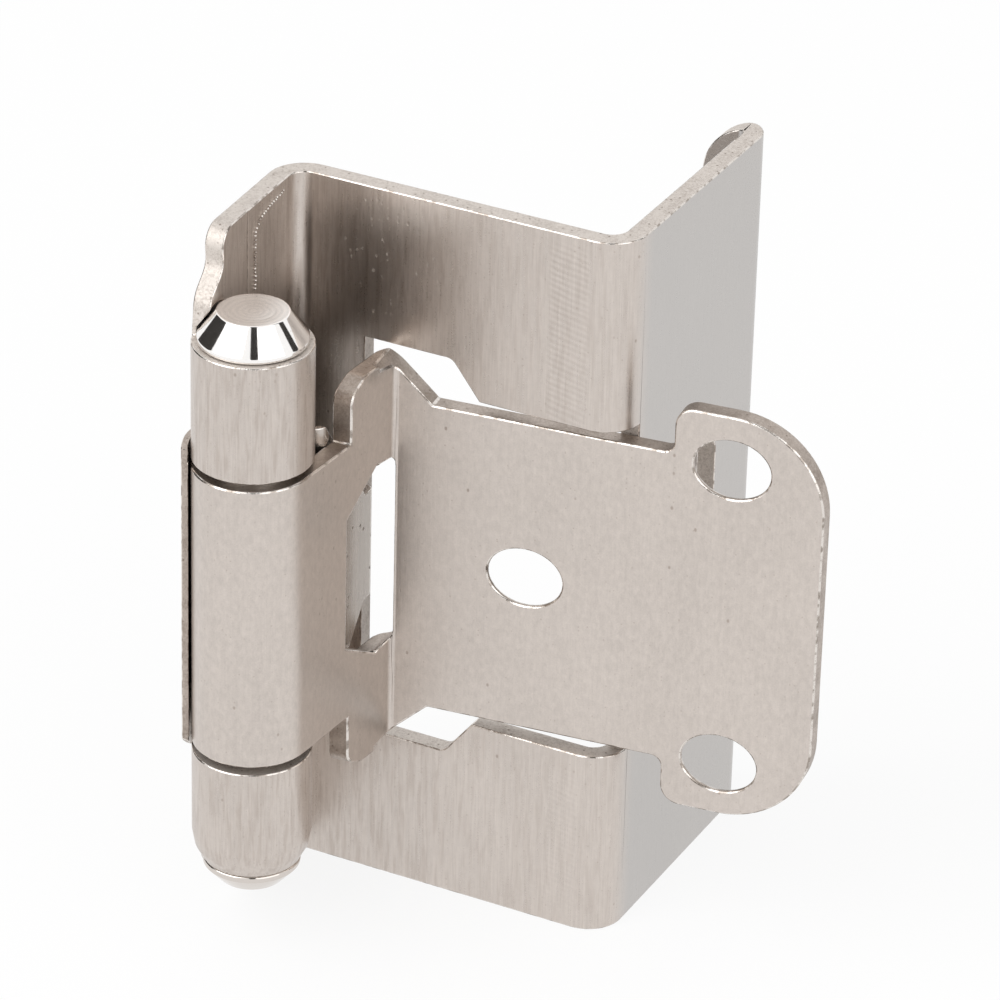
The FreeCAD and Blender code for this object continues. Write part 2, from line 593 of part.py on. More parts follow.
def door_wing():
    """The wing that the door is screwed to, with the middle knuckle; turned to its closed place."""
    body = doc.addObject("PartDesign::Body", "door_wing")
    body.Label = "door_wing"
    folds = outline(body, "folds", "XY_Plane", [[
        (f"{DOOR_KNUCKLE} * {WEB_COS}", f"-{DOOR_KNUCKLE} * {WEB_SIN}"),
        (f"({DOOR_KNUCKLE} + Sizes.door_plane * {WEB_SIN}) / {WEB_COS}", "Sizes.door_plane"),
        ("Sizes.head_end", "Sizes.door_plane"),
        ("Sizes.head_end", DOOR_BACK),
        (f"({KNUCKLE_BORE} + {DOOR_BACK} * {WEB_SIN}) / {WEB_COS}", DOOR_BACK),
        (f"{KNUCKLE_BORE} * {WEB_COS}", f"-{KNUCKLE_BORE} * {WEB_SIN}"),
    ]])
    blank = "((Sizes.head_half + Sizes.ear_half) * 2)"
    pad(body, folds, blank)
    round_edges(body, "fold_inside", Z_AXIS, [sketch_corner(folds, 1)], "Sizes.fold_radius")
    round_edges(body, "fold_outside", Z_AXIS, [sketch_corner(folds, 4)], "Sizes.fold_radius + Sizes.door_sheet")
    roll = rings(body, "roll", [DOOR_KNUCKLE])
    pad(body, roll, "Sizes.middle_half * 2")
    bore = rings(body, "bore", [KNUCKLE_BORE])
    cut(body, bore, blank)
    seam = outline(
        body, "seam", "XY_Plane", [rolled_seam("(-Sizes.web_tilt)", -1, KNUCKLE_BORE, DOOR_KNUCKLE)]
    )
    cut(body, seam, blank)
    clear = "(-Sizes.pin_diameter * 2)"
    web_reach = f"(({DOOR_KNUCKLE} + {DOOR_BACK} * {WEB_SIN}) / {WEB_COS} + Sizes.fold_radius)"
    behind = f"({DOOR_BACK} + Sizes.blank_room)"
    ears = outline(body, "ears", "YZ_Plane", both_ways([
        (clear, "Sizes.middle_half"),
        ("Sizes.ear_near", "Sizes.middle_half"),
        ("Sizes.ear_near", "Sizes.ear_near_half"),
        ("Sizes.ear_rise_end", "Sizes.ear_half"),
        (behind, "Sizes.ear_half"),
        (behind, blank),
        (clear, blank),
    ]))
    cut(body, ears, f"{web_reach} * 2")
    ear_corners = [sketch_corner(ears, index) for index in (2, 3, 9, 10)]
    round_edges(body, "ear_corners", X_AXIS, ear_corners, "Sizes.ear_round")
    plate_room = "(Sizes.door_plane - Sizes.blank_room)"
    beyond = "(Sizes.head_end + Sizes.blank_room)"
    through = "Sizes.door_sheet + 2 * Sizes.blank_room"
    plate = outline(body, "plate", "XZ_Plane", both_ways([
        ("Sizes.ear_far", blank),
        ("Sizes.ear_far", "Sizes.ear_half"),
        ("Sizes.neck_start", "Sizes.neck_half"),
        ("Sizes.head_start", "Sizes.neck_half"),
        ("Sizes.head_start", "Sizes.head_half"),
        (beyond, "Sizes.head_half"),
        (beyond, blank),
    ]), lift=f"-{plate_room}")
    cut(body, plate, through, side="One side")
    head_end = size("head_end")
    head_half = size("head_half")
    corners = [FreeCAD.Vector(head_end, 0, head_half), FreeCAD.Vector(head_end, 0, -head_half)]
    round_edges(body, "head_corners", Y_AXIS, corners, "Sizes.head_corner")
    heels = [sketch_corner(plate, index) for index in (4, 11)]
    round_edges(body, "head_heels", Y_AXIS, heels, "Sizes.head_heel")
    crooks = [sketch_corner(plate, index) for index in (3, 10)]
    round_edges(body, "head_crooks", Y_AXIS, crooks, "Sizes.head_crook")
    fold_corner = f"(({DOOR_KNUCKLE} + Sizes.door_plane * {WEB_SIN}) / {WEB_COS})"
    fold_end = f"({fold_corner} + Sizes.fold_radius * tan((90 - Sizes.web_tilt) / 2 * 1deg))"
    slot_middle = f"({fold_end} + Sizes.fold_slot_land - Sizes.fold_slot_width / 2)"
    slant_half = "Sizes.fold_slot_length / 2"
    web_slot = outline(body, "web_slot", "YZ_Plane", [[
        ("Sizes.fold_slot_near", "-Sizes.fold_slot_near_half"),
        ("Sizes.fold_slot_near", "Sizes.fold_slot_near_half"),
        ("Sizes.fold_slot_slant", f"Sizes.fold_slot_rise + {slant_half}"),
        (behind, f"Sizes.fold_slot_rise + {slant_half}"),
        (behind, f"Sizes.fold_slot_rise - {slant_half}"),
        ("Sizes.fold_slot_slant", f"Sizes.fold_slot_rise - {slant_half}"),
    ]])
    cut(body, web_slot, slot_middle, side="One side", backwards=True)
    fold_slot = round_slot(
        body, "fold_slot", "XZ_Plane", (slot_middle, "Sizes.fold_slot_rise"),
        "fold_slot_length", "fold_slot_width", upright=True, lift="-Sizes.fold_slot_slant",
    )
    cut(body, fold_slot, f"{behind} - Sizes.fold_slot_slant", side="One side")
    outer_half = "(Sizes.head_half - Sizes.outer_screw_margin)"
    screw_places = (
        ("inner_screw", "Sizes.inner_screw_place", "0"),
        ("upper_screw", "Sizes.outer_screw_place", outer_half),
        ("lower_screw", "Sizes.outer_screw_place", f"-{outer_half}"),
    )
    for label, across, up in screw_places:
        hole = oval(
            body, label, (across, up), "screw_length", "screw_width", lift=f"-{plate_room}"
        )
        cut(body, hole, through, side="One side")
    sink_ovals(body, size("door_plane") + size("door_sheet"), "Sizes.screw_sink")
    body.Placement = FreeCAD.Placement(FreeCAD.Vector(0, 0, 0), FreeCAD.Rotation(Z_AXIS, 1))
    body.setExpression("Placement.Rotation.Angle", "Sizes.closing_turn * 1deg")
    return body


def hinge_pin():
    """The riveted pin with a coned head at each end."""
    body = doc.addObject("PartDesign::Body", "hinge_pin")
    body.Label = "hinge_pin"
    seat = "(Sizes.knuckle_end + Sizes.head_gap)"
    rim = f"({seat} + Sizes.rim_height)"
    shank = "Sizes.pin_diameter / 2"
    profile = outline(body, "profile", "XZ_Plane", [[
        ("0", f"{rim} + Sizes.top_cone"),
        ("Sizes.top_face", f"{rim} + Sizes.top_cone"),
        ("Sizes.head_rim", rim),
        ("Sizes.head_rim", seat),
        (shank, seat),
        (shank, f"-{seat}"),
        ("Sizes.bottom_rim", f"-{seat}"),
        ("Sizes.bottom_rim", f"-{rim}"),
        ("Sizes.bottom_face", f"-({rim} + Sizes.bottom_cone)"),
        ("0", f"-({rim} + Sizes.bottom_cone)"),
    ]])
    turning = body.newObject("PartDesign::Revolution", "hinge_pin_turning")
    turning.Profile = profile
    turning.ReferenceAxis = (profile, ["V_Axis"])
    turning.Angle = 360
    doc.recompute()
    return body


def closing_spring():
    """The leaf that hugs the barrel, turns back along the door wing's web and stands on the frame wing."""
    body = doc.addObject("PartDesign::Body", "closing_spring")
    body.Label = "closing_spring"
    middle = f"({FRAME_KNUCKLE} + Sizes.leaf_room + Sizes.leaf / 2)"
    hug = knuckle_radius() + size("leaf_room") + size("leaf") / 2
    turn = size("leaf_turn")
    foot_bend = size("foot_bend")
    leg = size("leaf_leg")
    turn_centre = FreeCAD.Vector(leg - turn, math.sqrt((hug + turn) ** 2 - (leg - turn) ** 2), 0)
    foot_line = size("front_plane") - size("foot_room") - size("leaf") / 2
    foot_centre = FreeCAD.Vector(leg - foot_bend, foot_line - foot_bend, 0)
    meeting = math.atan2(turn_centre.y, turn_centre.x)
    path = new_sketch(body, "path", "XY_Plane")
    origin = FreeCAD.Vector(0, 0, 0)
    foot_start = FreeCAD.Vector(size("foot_end"), foot_line, 0)
    foot_stop = FreeCAD.Vector(foot_centre.x, foot_line, 0)
    leg_top = FreeCAD.Vector(leg, foot_centre.y, 0)
    leg_foot = FreeCAD.Vector(leg, turn_centre.y, 0)
    end_angle = math.radians(size("leaf_end_angle"))
    path.addGeometry(Part.LineSegment(foot_start, foot_stop), False)
    foot_circle = Part.Circle(foot_centre, Z_AXIS, foot_bend)
    path.addGeometry(Part.ArcOfCircle(foot_circle, 0, math.pi / 2), False)
    path.addGeometry(Part.LineSegment(leg_top, leg_foot), False)
    turn_circle = Part.Circle(turn_centre, Z_AXIS, turn)
    path.addGeometry(Part.ArcOfCircle(turn_circle, meeting - math.pi, 0), False)
    hug_circle = Part.Circle(origin, Z_AXIS, hug)
    path.addGeometry(Part.ArcOfCircle(hug_circle, meeting, end_angle), False)
    joins = ((0, 2, 1, 2), (1, 1, 2, 1), (2, 2, 3, 2), (3, 1, 4, 1))
    for first, first_end, second, second_end in joins:
        path.addConstraint(Sketcher.Constraint("Tangent", first, first_end, second, second_end))
    path.addConstraint(Sketcher.Constraint("Coincident", 4, 3, -1, 1))
    path.addConstraint(Sketcher.Constraint("Horizontal", 0))
    path.addConstraint(Sketcher.Constraint("Vertical", 2))
    foot_path = "(Sizes.front_plane - Sizes.foot_room - Sizes.leaf / 2)"
    end_across = f"{middle} * cos(Sizes.leaf_end_angle * 1deg)"
    stop = hug * math.cos(end_angle)
    wanted = (
        ("foot_end", Sketcher.Constraint("DistanceX", -1, 1, 0, 1, foot_start.x), "Sizes.foot_end"),
        ("foot_line", Sketcher.Constraint("DistanceY", -1, 1, 0, 1, foot_start.y), foot_path),
        ("foot_bend", Sketcher.Constraint("Radius", 1, foot_bend), "Sizes.foot_bend"),
        ("leg", Sketcher.Constraint("DistanceX", -1, 1, 2, 1, leg), "Sizes.leaf_leg"),
        ("turn", Sketcher.Constraint("Radius", 3, turn), "Sizes.leaf_turn"),
        ("hug", Sketcher.Constraint("Radius", 4, hug), middle),
        ("end_across", Sketcher.Constraint("DistanceX", -1, 1, 4, 2, stop), end_across),
    )
    for name, constraint, expression in wanted:
        name_constraint(path, constraint, name, expression)
    section = outline(body, "section", "YZ_Plane", [[
        (f"{foot_path} - Sizes.leaf / 2", "-Sizes.leaf_half"),
        (f"{foot_path} + Sizes.leaf / 2", "-Sizes.leaf_half"),
        (f"{foot_path} + Sizes.leaf / 2", "Sizes.leaf_half"),
        (f"{foot_path} - Sizes.leaf / 2", "Sizes.leaf_half"),
    ]], lift="Sizes.foot_end")
    leaf = body.newObject("PartDesign::AdditivePipe", "closing_spring_leaf")
    leaf.Profile = section
    leaf.Spine = (path, [])
    leaf.Mode = "Frenet"
    doc.recompute()
    outer = f"({middle} + Sizes.leaf)"
    over = "(Sizes.leaf_half + Sizes.blank_room)"
    waist = outline(body, "waist", "YZ_Plane", both_ways([
        ("Sizes.waist_start", over),
        ("Sizes.waist_start + Sizes.waist_slope", "Sizes.leaf_waist_half"),
        (f"{outer} - Sizes.waist_slope", "Sizes.leaf_waist_half"),
        (outer, over),
    ]), lift="-Sizes.leaf_leg + Sizes.leaf")
    cut(body, waist, outer, side="One side")
    free_end = outline(body, "free_end", "YZ_Plane", [
        [
            (f"-{outer}", "Sizes.leaf_half - Sizes.leaf_end_rise"),
            ("Sizes.leaf_end_start", "Sizes.leaf_half"),
            ("Sizes.leaf_end_start", over),
            (f"-{outer}", over),
        ],
        [
            (f"-{outer}", "-(Sizes.leaf_half - Sizes.leaf_end_taper)"),
            ("Sizes.leaf_end_start", "-Sizes.leaf_half"),
            ("Sizes.leaf_end_start", f"-{over}"),
            (f"-{outer}", f"-{over}"),
        ],
    ], lift="-Sizes.leaf_leg + Sizes.leaf")
    cut(body, free_end, outer, side="One side")
    taper = outline(body, "taper", "YZ_Plane", both_ways([
        ("Sizes.leg_taper_start", over),
        ("Sizes.leg_taper_start", "Sizes.leaf_half"),
        ("Sizes.leg_taper_end", "Sizes.leg_end_half"),
        ("Sizes.front_plane - Sizes.foot_taper", "Sizes.foot_half"),
        (f"{foot_path} + Sizes.blank_room", "Sizes.foot_half"),
        (f"{foot_path} + Sizes.blank_room", over),
    ]), lift="Sizes.leaf_leg + Sizes.leaf_turn")
    leg_length = "Sizes.leaf_leg + Sizes.leaf_turn - Sizes.foot_end + Sizes.blank_room"
    cut(body, taper, leg_length, side="One side")
    return body


def main():
    """Builds every piece, checks it and writes its file."""
    pieces = [frame_wing(), door_wing(), hinge_pin(), closing_spring()]
    doc.recompute()
    problems = [item.Name for item in doc.Objects if failed(item)]
    if problems:
        raise ValueError(f"These did not come out: {problems}")
    os.makedirs("parts", exist_ok=True)
    for piece in pieces:
        shape = piece.Shape
        if shape.isNull() or not shape.isValid() or len(shape.Solids) != 1:
            raise ValueError(f"{piece.Label} is not one valid solid")
        shape.exportStep(f"parts/{piece.Label}.step")
        box = shape.BoundBox
        low = f"{box.XMin:.2f} {box.YMin:.2f} {box.ZMin:.2f}"
        high = f"{box.XMax:.2f} {box.YMax:.2f} {box.ZMax:.2f}"
        print(f"{piece.Label}: {shape.Volume:.1f} mm3, from {low} to {high}")


main()
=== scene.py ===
"""The self-closing cabinet hinge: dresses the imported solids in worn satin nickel."""

import logging
import math
from dataclasses import dataclass
from enum import Enum
from typing import Any, Sequence

import bmesh
import bpy
from mathutils import Matrix, Vector
from mathutils.bvhtree import BVHTree
from mathutils.geometry import area_tri


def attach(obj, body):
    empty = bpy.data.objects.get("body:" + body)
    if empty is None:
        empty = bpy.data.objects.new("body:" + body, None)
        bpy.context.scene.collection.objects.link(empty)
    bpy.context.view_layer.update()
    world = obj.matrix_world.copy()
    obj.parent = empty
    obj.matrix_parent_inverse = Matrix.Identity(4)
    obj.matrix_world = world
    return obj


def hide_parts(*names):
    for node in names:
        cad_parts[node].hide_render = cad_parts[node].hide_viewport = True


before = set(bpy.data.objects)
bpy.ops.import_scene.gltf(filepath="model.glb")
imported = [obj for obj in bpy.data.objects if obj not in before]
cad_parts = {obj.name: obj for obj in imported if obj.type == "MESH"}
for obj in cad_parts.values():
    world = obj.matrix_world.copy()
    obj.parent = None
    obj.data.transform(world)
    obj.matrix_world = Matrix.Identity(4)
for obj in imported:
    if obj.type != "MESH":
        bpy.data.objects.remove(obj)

log = logging.getLogger("cabinet_hinge")

MM = 0.001
Colour = tuple[float, float, float]
Point = tuple[float, float, float]
WHITE: Colour = (1.0, 1.0, 1.0)
Socket = bpy.types.NodeSocket


class Surface(Enum):
    """The three kinds of surface on a stamped sheet, as material slot numbers."""

    SKIN = 0
    CUT = 1
    RIM = 2


# ---- Shader maths


def opaque(colour: Any) -> Any:
    """A colour with full alpha; a socket stays as it is."""
    return (*colour, 1.0) if isinstance(colour, tuple) else colour


def add_node(
    tree: bpy.types.NodeTree, kind: str, settings: dict[str, Any], sockets: dict[Any, Any]
) -> bpy.types.Node:
    """Adds a node of any kind to a tree.

    Args:
        tree: The tree that takes the node.
        kind: The node's type name.
        settings: Properties, set before the sockets.
        sockets: Input name or number to a Line, a socket or a plain value.

    Returns:
        The new node.
    """
    made = tree.nodes.new(kind)
    for name, value in settings.items():
        setattr(made, name, value)
    for name, value in sockets.items():
        if isinstance(value, Line):
            value = value.socket
        if isinstance(value, Socket):
            tree.links.new(value, made.inputs[name])
        else:
            made.inputs[name].default_value = value
    return made


class Line:
    """A number that runs between shader nodes and takes part in Python arithmetic."""

    def __init__(self, recipe: "Recipe", socket: Socket) -> None:
        """Keeps the recipe that new nodes go into, and the socket."""
        self.recipe = recipe
        self.socket = socket

    def _maths(self, operation: str, *values: Any) -> "Line":
        """One Math node on these values."""
        made = self.recipe.node("ShaderNodeMath", {"operation": operation}, dict(enumerate(values)))
        return Line(self.recipe, made.outputs[0])

    def __add__(self, other: "Line | float") -> "Line":
        """Adds a line or a number."""
        return self._maths("ADD", self, other)

    __radd__ = __add__

    def __sub__(self, other: "Line | float") -> "Line":
        """Takes a line or a number away."""
        return self._maths("SUBTRACT", self, other)

    def __rsub__(self, other: float) -> "Line":
        """Takes this line away from a number."""
        return self._maths("SUBTRACT", other, self)

    def __mul__(self, other: "Line | float") -> "Line":
        """Multiplies by a line or a number."""
        return self._maths("MULTIPLY", self, other)

    __rmul__ = __mul__

    def size(self) -> "Line":
        """This without its sign."""
        return self._maths("ABSOLUTE", self)

    def squared(self) -> "Line":
        """This times itself."""
        return self * self

    def root(self) -> "Line":
        """The square root."""
        return self._maths("SQRT", self)

    def wave(self) -> "Line":
        """The sine of this many radians."""
        return self._maths("SINE", self)

    def at_most(self, limit: float) -> "Line":
        """The smaller of this and a limit."""
        return self._maths("MINIMUM", self, limit)

    def at_least(self, limit: float) -> "Line":
        """The larger of this and a limit."""
        return self._maths("MAXIMUM", self, limit)

    def swing(self, amount: float) -> "Line":
        """A noise about 0.5 as a change about 0 that is this much from end to end."""
        return (self - 0.5) * amount

    def fade(self, start: float, end: float) -> "Line":
        """Goes smoothly from 0 at start to 1 at end.

        Args:
            start: Where the result is 0.
            end: Where the result is 1; it may lie below start.

        Returns:
            The faded line.
        """
        low, high = min(start, end), max(start, end)
        made = self.recipe.node(
            "ShaderNodeMapRange", {"interpolation_type": "SMOOTHSTEP"},
            {"Value": self, "From Min": low, "From Max": high},
        )
        faded = Line(self.recipe, made.outputs["Result"])
        return 1.0 - faded if start > end else faded


class Recipe:
    """The node tree of one material, with the few node kinds that these finishes share."""

    def __init__(self, name: str) -> None:
        """Starts an empty material.

        Args:
            name: The material's name.
        """
        self.material = bpy.data.materials.new(name)
        self.material.use_nodes = True
        self.tree = self.material.node_tree
        self.tree.nodes.clear()

    def node(self, kind: str, settings: dict[str, Any], sockets: dict[Any, Any]) -> bpy.types.Node:
        """Adds a node of any kind to this material."""
        return add_node(self.tree, kind, settings, sockets)

    def place(self) -> Socket:
        """Object coordinates in millimetres, as a vector socket."""
        coordinates = self.node("ShaderNodeTexCoord", {}, {})
        return self.stretched(coordinates.outputs["Object"], (1 / MM, 1 / MM, 1 / MM))

    def stretched(self, vector: Socket, factors: Point) -> Socket:
        """A vector times a factor along each axis."""
        made = self.node("ShaderNodeVectorMath", {"operation": "MULTIPLY"}, {0: vector, 1: factors})
        return made.outputs[0]

    def parts(self, vector: Socket) -> tuple[Line, Line, Line]:
        """A vector's three numbers."""
        made = self.node("ShaderNodeSeparateXYZ", {}, {0: vector})
        return tuple(Line(self, made.outputs[axis]) for axis in range(3))

    def facing(self) -> tuple[Line, Line, Line]:
        """The three numbers of the surface's own normal."""
        geometry = self.node("ShaderNodeNewGeometry", {}, {})
        return self.parts(geometry.outputs["Normal"])

    def noise(
        self, place: Socket, scale: float, detail: float = 2.0, twist: float = 0.0, along: float = 1.0
    ) -> Line:
        """Smooth noise about 0.5.

        Args:
            place: Where it is read, in millimetres.
            scale: Waves to the millimetre.
            detail: Octaves of finer noise.
            twist: How far the pattern is bent by itself.
            along: Scale along the pin against the other axes; below 1 the pattern is drawn out that way.

        Returns:
            The noise as a line.
        """
        made = self.node("ShaderNodeTexNoise", {}, {
            "Vector": self._drawn(place, along), "Scale": scale, "Detail": detail, "Distortion": twist,
        })
        return Line(self, made.outputs["Fac"])

    def specks(self, place: Socket, scale: float, reach: float, chance: float, along: float = 1.0) -> Line:
        """Round specks, one in some cells of a lattice.

        Args:
            place: Where they are read, in millimetres.
            scale: Cells to the millimetre.
            reach: A speck's radius in cells.
            chance: The share of cells that have one.
            along: Scale along the pin against the other axes.

        Returns:
            1 in the middle of a speck and 0 outside.
        """
        core_share, lot_edge = 0.4, 0.01
        cells = self.node(
            "ShaderNodeTexVoronoi", {"feature": "F1"}, {"Vector": self._drawn(place, along), "Scale": scale}
        )
        near = Line(self, cells.outputs["Distance"]).fade(reach, reach * core_share)
        lot = self.node("ShaderNodeSeparateColor", {}, {0: cells.outputs["Color"]})
        return near * Line(self, lot.outputs[0]).fade(chance + lot_edge, chance)

    def _drawn(self, place: Socket, along: float) -> Socket:
        """A place with its scale along the pin changed."""
        return place if along == 1.0 else self.stretched(place, (1.0, 1.0, along))

    def blend(self, factor: Line, low: Any, high: Any) -> Socket:
        """A colour between two.

        Args:
            factor: 0 where the first shows and 1 where the second does.
            low: The first, a colour or a socket.
            high: The second, a colour or a socket.

        Returns:
            The blended colour's socket.
        """
        made = self.node(
            "ShaderNodeMix", {"data_type": "RGBA", "clamp_factor": True},
            {0: factor, 6: opaque(low), 7: opaque(high)},
        )
        return made.outputs[2]

    def shaded(self, colour: Any, amount: Line) -> Socket:
        """A colour made darker or lighter.

        Args:
            colour: A colour or a socket.
            amount: A line about 1 that multiplies it.

        Returns:
            The shaded colour's socket.
        """
        grey = self.node("ShaderNodeCombineColor", {}, {0: amount, 1: amount, 2: amount})
        made = self.node(
            "ShaderNodeMix", {"data_type": "RGBA", "blend_type": "MULTIPLY"},
            {0: 1.0, 6: opaque(colour), 7: grey.outputs[0]},
        )
        return made.outputs[2]

    def metal(
        self, colour: Socket, roughness: Line, height: Line, relief: float, anisotropy: float = 0.0
    ) -> bpy.types.Material:
        """Ends the tree in a metal.

        Args:
            colour: Base colour socket.
            roughness: Varying roughness.
            height: The surface's fine height, from 0 to 1.
            relief: Millimetres that the height stands for.
            anisotropy: How far the gloss is drawn out.

        Returns:
            The finished material.
        """
        bump = self.node(
            "ShaderNodeBump", {}, {"Height": height * (relief * MM), "Strength": 1.0, "Distance": 1.0}
        )
        return self.end(self.node("ShaderNodeBsdfPrincipled", {}, {
            "Base Color": colour, "Metallic": 1.0, "Roughness": roughness,
            "Normal": bump.outputs["Normal"], "Anisotropic": anisotropy,
        }))

    def end(self, shader: bpy.types.Node) -> bpy.types.Material:
        """Ends the tree in a shader and gives the finished material."""
        self.node("ShaderNodeOutputMaterial", {}, {"Surface": shader.outputs[0]})
        return self.material


def white_rays(tree: bpy.types.NodeTree) -> Socket:
    """1 for rays that should meet a white background: the camera's, and those off metal or through glass.

    Args:
        tree: The tree that takes the nodes.

    Returns:
        The socket of that number.
    """
    rays = add_node(tree, "ShaderNodeLightPath", {}, {}).outputs
    larger = {"operation": "MAXIMUM"}
    first = add_node(tree, "ShaderNodeMath", larger, {0: rays["Is Camera Ray"], 1: rays["Is Glossy Ray"]})
    both = add_node(tree, "ShaderNodeMath", larger, {0: first.outputs[0], 1: rays["Is Transmission Ray"]})
    return both.outputs[0]


# ---- Finishes


@dataclass(frozen=True)
class Ladder:
    """A strip of short level marks, one above another, where the press slid along the bend.

    The four sizes are the strip's ends along X and its lowest and highest mark, in millimetres.
    """

    left: float
    right: float
    low: float
    high: float
    soft_side: float = 0.3
    soft_end: float = 1.0
    radians_up: float = 13.0
    radians_across: float = 2.4
    unsteadiness: float = 3.5

    def height(self, recipe: Recipe, place: Socket) -> Line:
        """The marks' height.

        Args:
            recipe: The tree that takes the nodes.
            place: Object coordinates in millimetres.

        Returns:
            Waves inside the strip and 0 elsewhere.
        """
        across, _, up = recipe.parts(place)
        side, end = self.soft_side, self.soft_end
        inside = across.fade(self.left - side, self.left + side)
        inside = inside * across.fade(self.right + side, self.right - side)
        inside = inside * up.fade(self.low - end, self.low + end) * up.fade(self.high + end, self.high - end)
        slope = up * self.radians_up + across * self.radians_across
        shaky = recipe.noise(recipe.stretched(place, (0.6, 0.6, 1.0)), scale=0.7) * self.unsteadiness
        return (slope + shaky).wave() * inside


@dataclass(frozen=True)
class NickedPatch:
    """A round patch on the frame wing where the plate is nicked: its middle and reach in millimetres."""

    across: float
    up: float
    reach: float
    worst_share: float = 0.3
    stain: float = 0.7

    def nicks(self, recipe: Recipe, place: Socket) -> Line:
        """The nicks.

        Args:
            recipe: The tree that takes the nodes.
            place: Object coordinates in millimetres.

        Returns:
            1 in the middle of a nick and 0 outside.
        """
        across, _, up = recipe.parts(place)
        away = ((across - self.across).squared() + (up - self.up).squared()).root()
        worn = away.fade(self.reach, self.reach * self.worst_share)
        return recipe.specks(place, scale=2.4, reach=0.30, chance=0.34, along=0.6) * worn


@dataclass(frozen=True)
class BrushedNickel:
    """Satin nickel plate, brushed along the pin, on a rolled sheet."""

    name: str
    body: Colour = (0.625, 0.565, 0.520)
    stain: Colour = (0.43, 0.365, 0.32)
    # shade_side is the cooler, darker grey of the painted shade on the plate behind the wrap's bend.
    shade_side: Colour = (0.50, 0.49, 0.48)
    gloss: float = 0.30
    streak: float = 0.10
    streak_tone: float = 2.2
    hair_tone: float = 1.5
    cloud: float = 0.14
    mottle: float = 0.035
    grain_tone: float = 3.2
    mottle_tone: float = 4.0
    pit_chance: float = 0.07
    dot_chance: float = 1.5
    dot_stain: float = 0.55
    # Strength of the brown grime runs on the front; their extra weight towards the pin is painted shade.
    grime_and_painted_shade: float = 0.0
    # How far the plate behind the wrap's bend takes the painted shade.
    painted_side_shade: float = 0.0
    stain_strength: float = 0.75
    stain_gloss: float = 0.25
    pit_depth: float = 1.5
    relief: float = 0.006
    anisotropy: float = 0.35
    ladder_height: float = 1.6
    patch: NickedPatch | None = None
    ladders: tuple[Ladder, ...] = ()

    def build(self) -> bpy.types.Material:
        """Makes the material.

        Returns:
            The finished material.
        """
        recipe = Recipe(self.name)
        place = recipe.place()
        streaks = recipe.noise(place, scale=7.0, detail=3.0, along=0.035)
        hairs = recipe.noise(place, scale=19.0, along=0.02)
        cloud = recipe.noise(place, scale=0.16, detail=3.0, along=0.45)
        grain = recipe.noise(place, scale=9.0, detail=3.0)
        mottled = recipe.noise(place, scale=2.6, detail=4.0, twist=0.4, along=0.6)
        pits = recipe.specks(place, scale=1.1, reach=0.16, chance=self.pit_chance, along=0.7)
        dots = recipe.specks(place, scale=3.1, reach=0.26, chance=self.pit_chance * self.dot_chance)
        brushed = streaks.swing(self.streak_tone * self.streak) + hairs.swing(self.hair_tone * self.streak)
        rolled = grain.swing(self.grain_tone * self.mottle) + mottled.swing(self.mottle_tone * self.mottle)
        tone = 1.0 + brushed + cloud.swing(self.cloud) + rolled
        colour = self._aged_with_painted_shade(recipe, place, recipe.shaded(self.body, tone))
        stained = (pits + dots * self.dot_stain).at_most(1.0)
        height = streaks * 0.45 + hairs * 0.40 + grain * 0.45 + mottled * 0.5 - stained * self.pit_depth
        if self.patch:
            nicks = self.patch.nicks(recipe, place)
            stained = (stained + nicks * self.patch.stain).at_most(1.0)
            height = height - nicks
        for ladder in self.ladders:
            height = height + ladder.height(recipe, place) * self.ladder_height
        colour = recipe.blend(stained * self.stain_strength, colour, self.stain)
        roughness = self.gloss + grain.swing(0.12) + streaks.swing(0.10) + stained * self.stain_gloss
        return recipe.metal(colour, roughness, height, self.relief, self.anisotropy)

    def _aged_with_painted_shade(self, recipe: Recipe, place: Socket, colour: Socket) -> Socket:
        """Paints shade on the plate behind the wrap's bend as a cooler, darker grey, and lays brown grime in
        runs on the front that grow stronger towards the pin, partly as painted shade.

        Args:
            recipe: The tree that takes the nodes.
            place: Object coordinates in millimetres.
            colour: The clean plate.

        Returns:
            The aged colour's socket.
        """
        across, depth, _ = recipe.parts(place)
        # Painted shade: the side plate behind the wrap's bend is blended towards the cooler, darker shade_side
        # grey.
        if self.painted_side_shade > 0:
            colour = recipe.blend(depth.fade(14.0, 17.0) * self.painted_side_shade, colour, self.shade_side)
        if self.grime_and_painted_shade > 0:
            # Brown grime in runs on the front plate, with weight that grows towards the pin as painted shade
            # for the darker plate there.
            runs = recipe.noise(place, scale=3.2, detail=5.0, twist=0.4, along=0.10).fade(0.42, 0.70)
            painted_shade_near_pin, in_front = 0.5 + across.fade(16.0, 2.0) * 0.5, depth.fade(15.0, 13.5)
            colour = recipe.blend(runs * painted_shade_near_pin * in_front * self.grime_and_painted_shade, colour, self.stain)
        return colour


@dataclass(frozen=True)
class ShearedEdge:
    """The cut face of a stamped sheet: plate over torn steel, with fine marks through the sheet."""

    name: str
    body: Colour = (0.70, 0.65, 0.605)
    burnt: Colour = (0.22, 0.17, 0.135)
    gloss: float = 0.62
    brown: float = 0.08
    patchy: float = 0.5
    pitted: float = 0.7
    relief: float = 0.02

    def build(self) -> bpy.types.Material:
        """Makes the material.

        Returns:
            The finished material.
        """
        recipe = Recipe(self.name)
        place = recipe.place()
        torn = recipe.noise(place, scale=5.0, detail=4.0, twist=0.6)
        fine = recipe.noise(place, scale=14.0)
        patches = recipe.noise(place, scale=0.5, detail=3.0)
        pits = recipe.specks(place, scale=2.6, reach=0.30, chance=0.22)
        shade = torn.swing(1.0) + fine.swing(0.8) + patches.swing(self.patchy) + self.brown
        colour = recipe.blend(shade.at_least(0.0).at_most(1.0), self.body, self.burnt)
        colour = recipe.blend(pits * self.pitted, colour, self.burnt)
        height = torn * 0.6 + fine * 0.4 - pits * 0.8
        return recipe.metal(colour, self.gloss + torn.swing(0.2), height, self.relief)


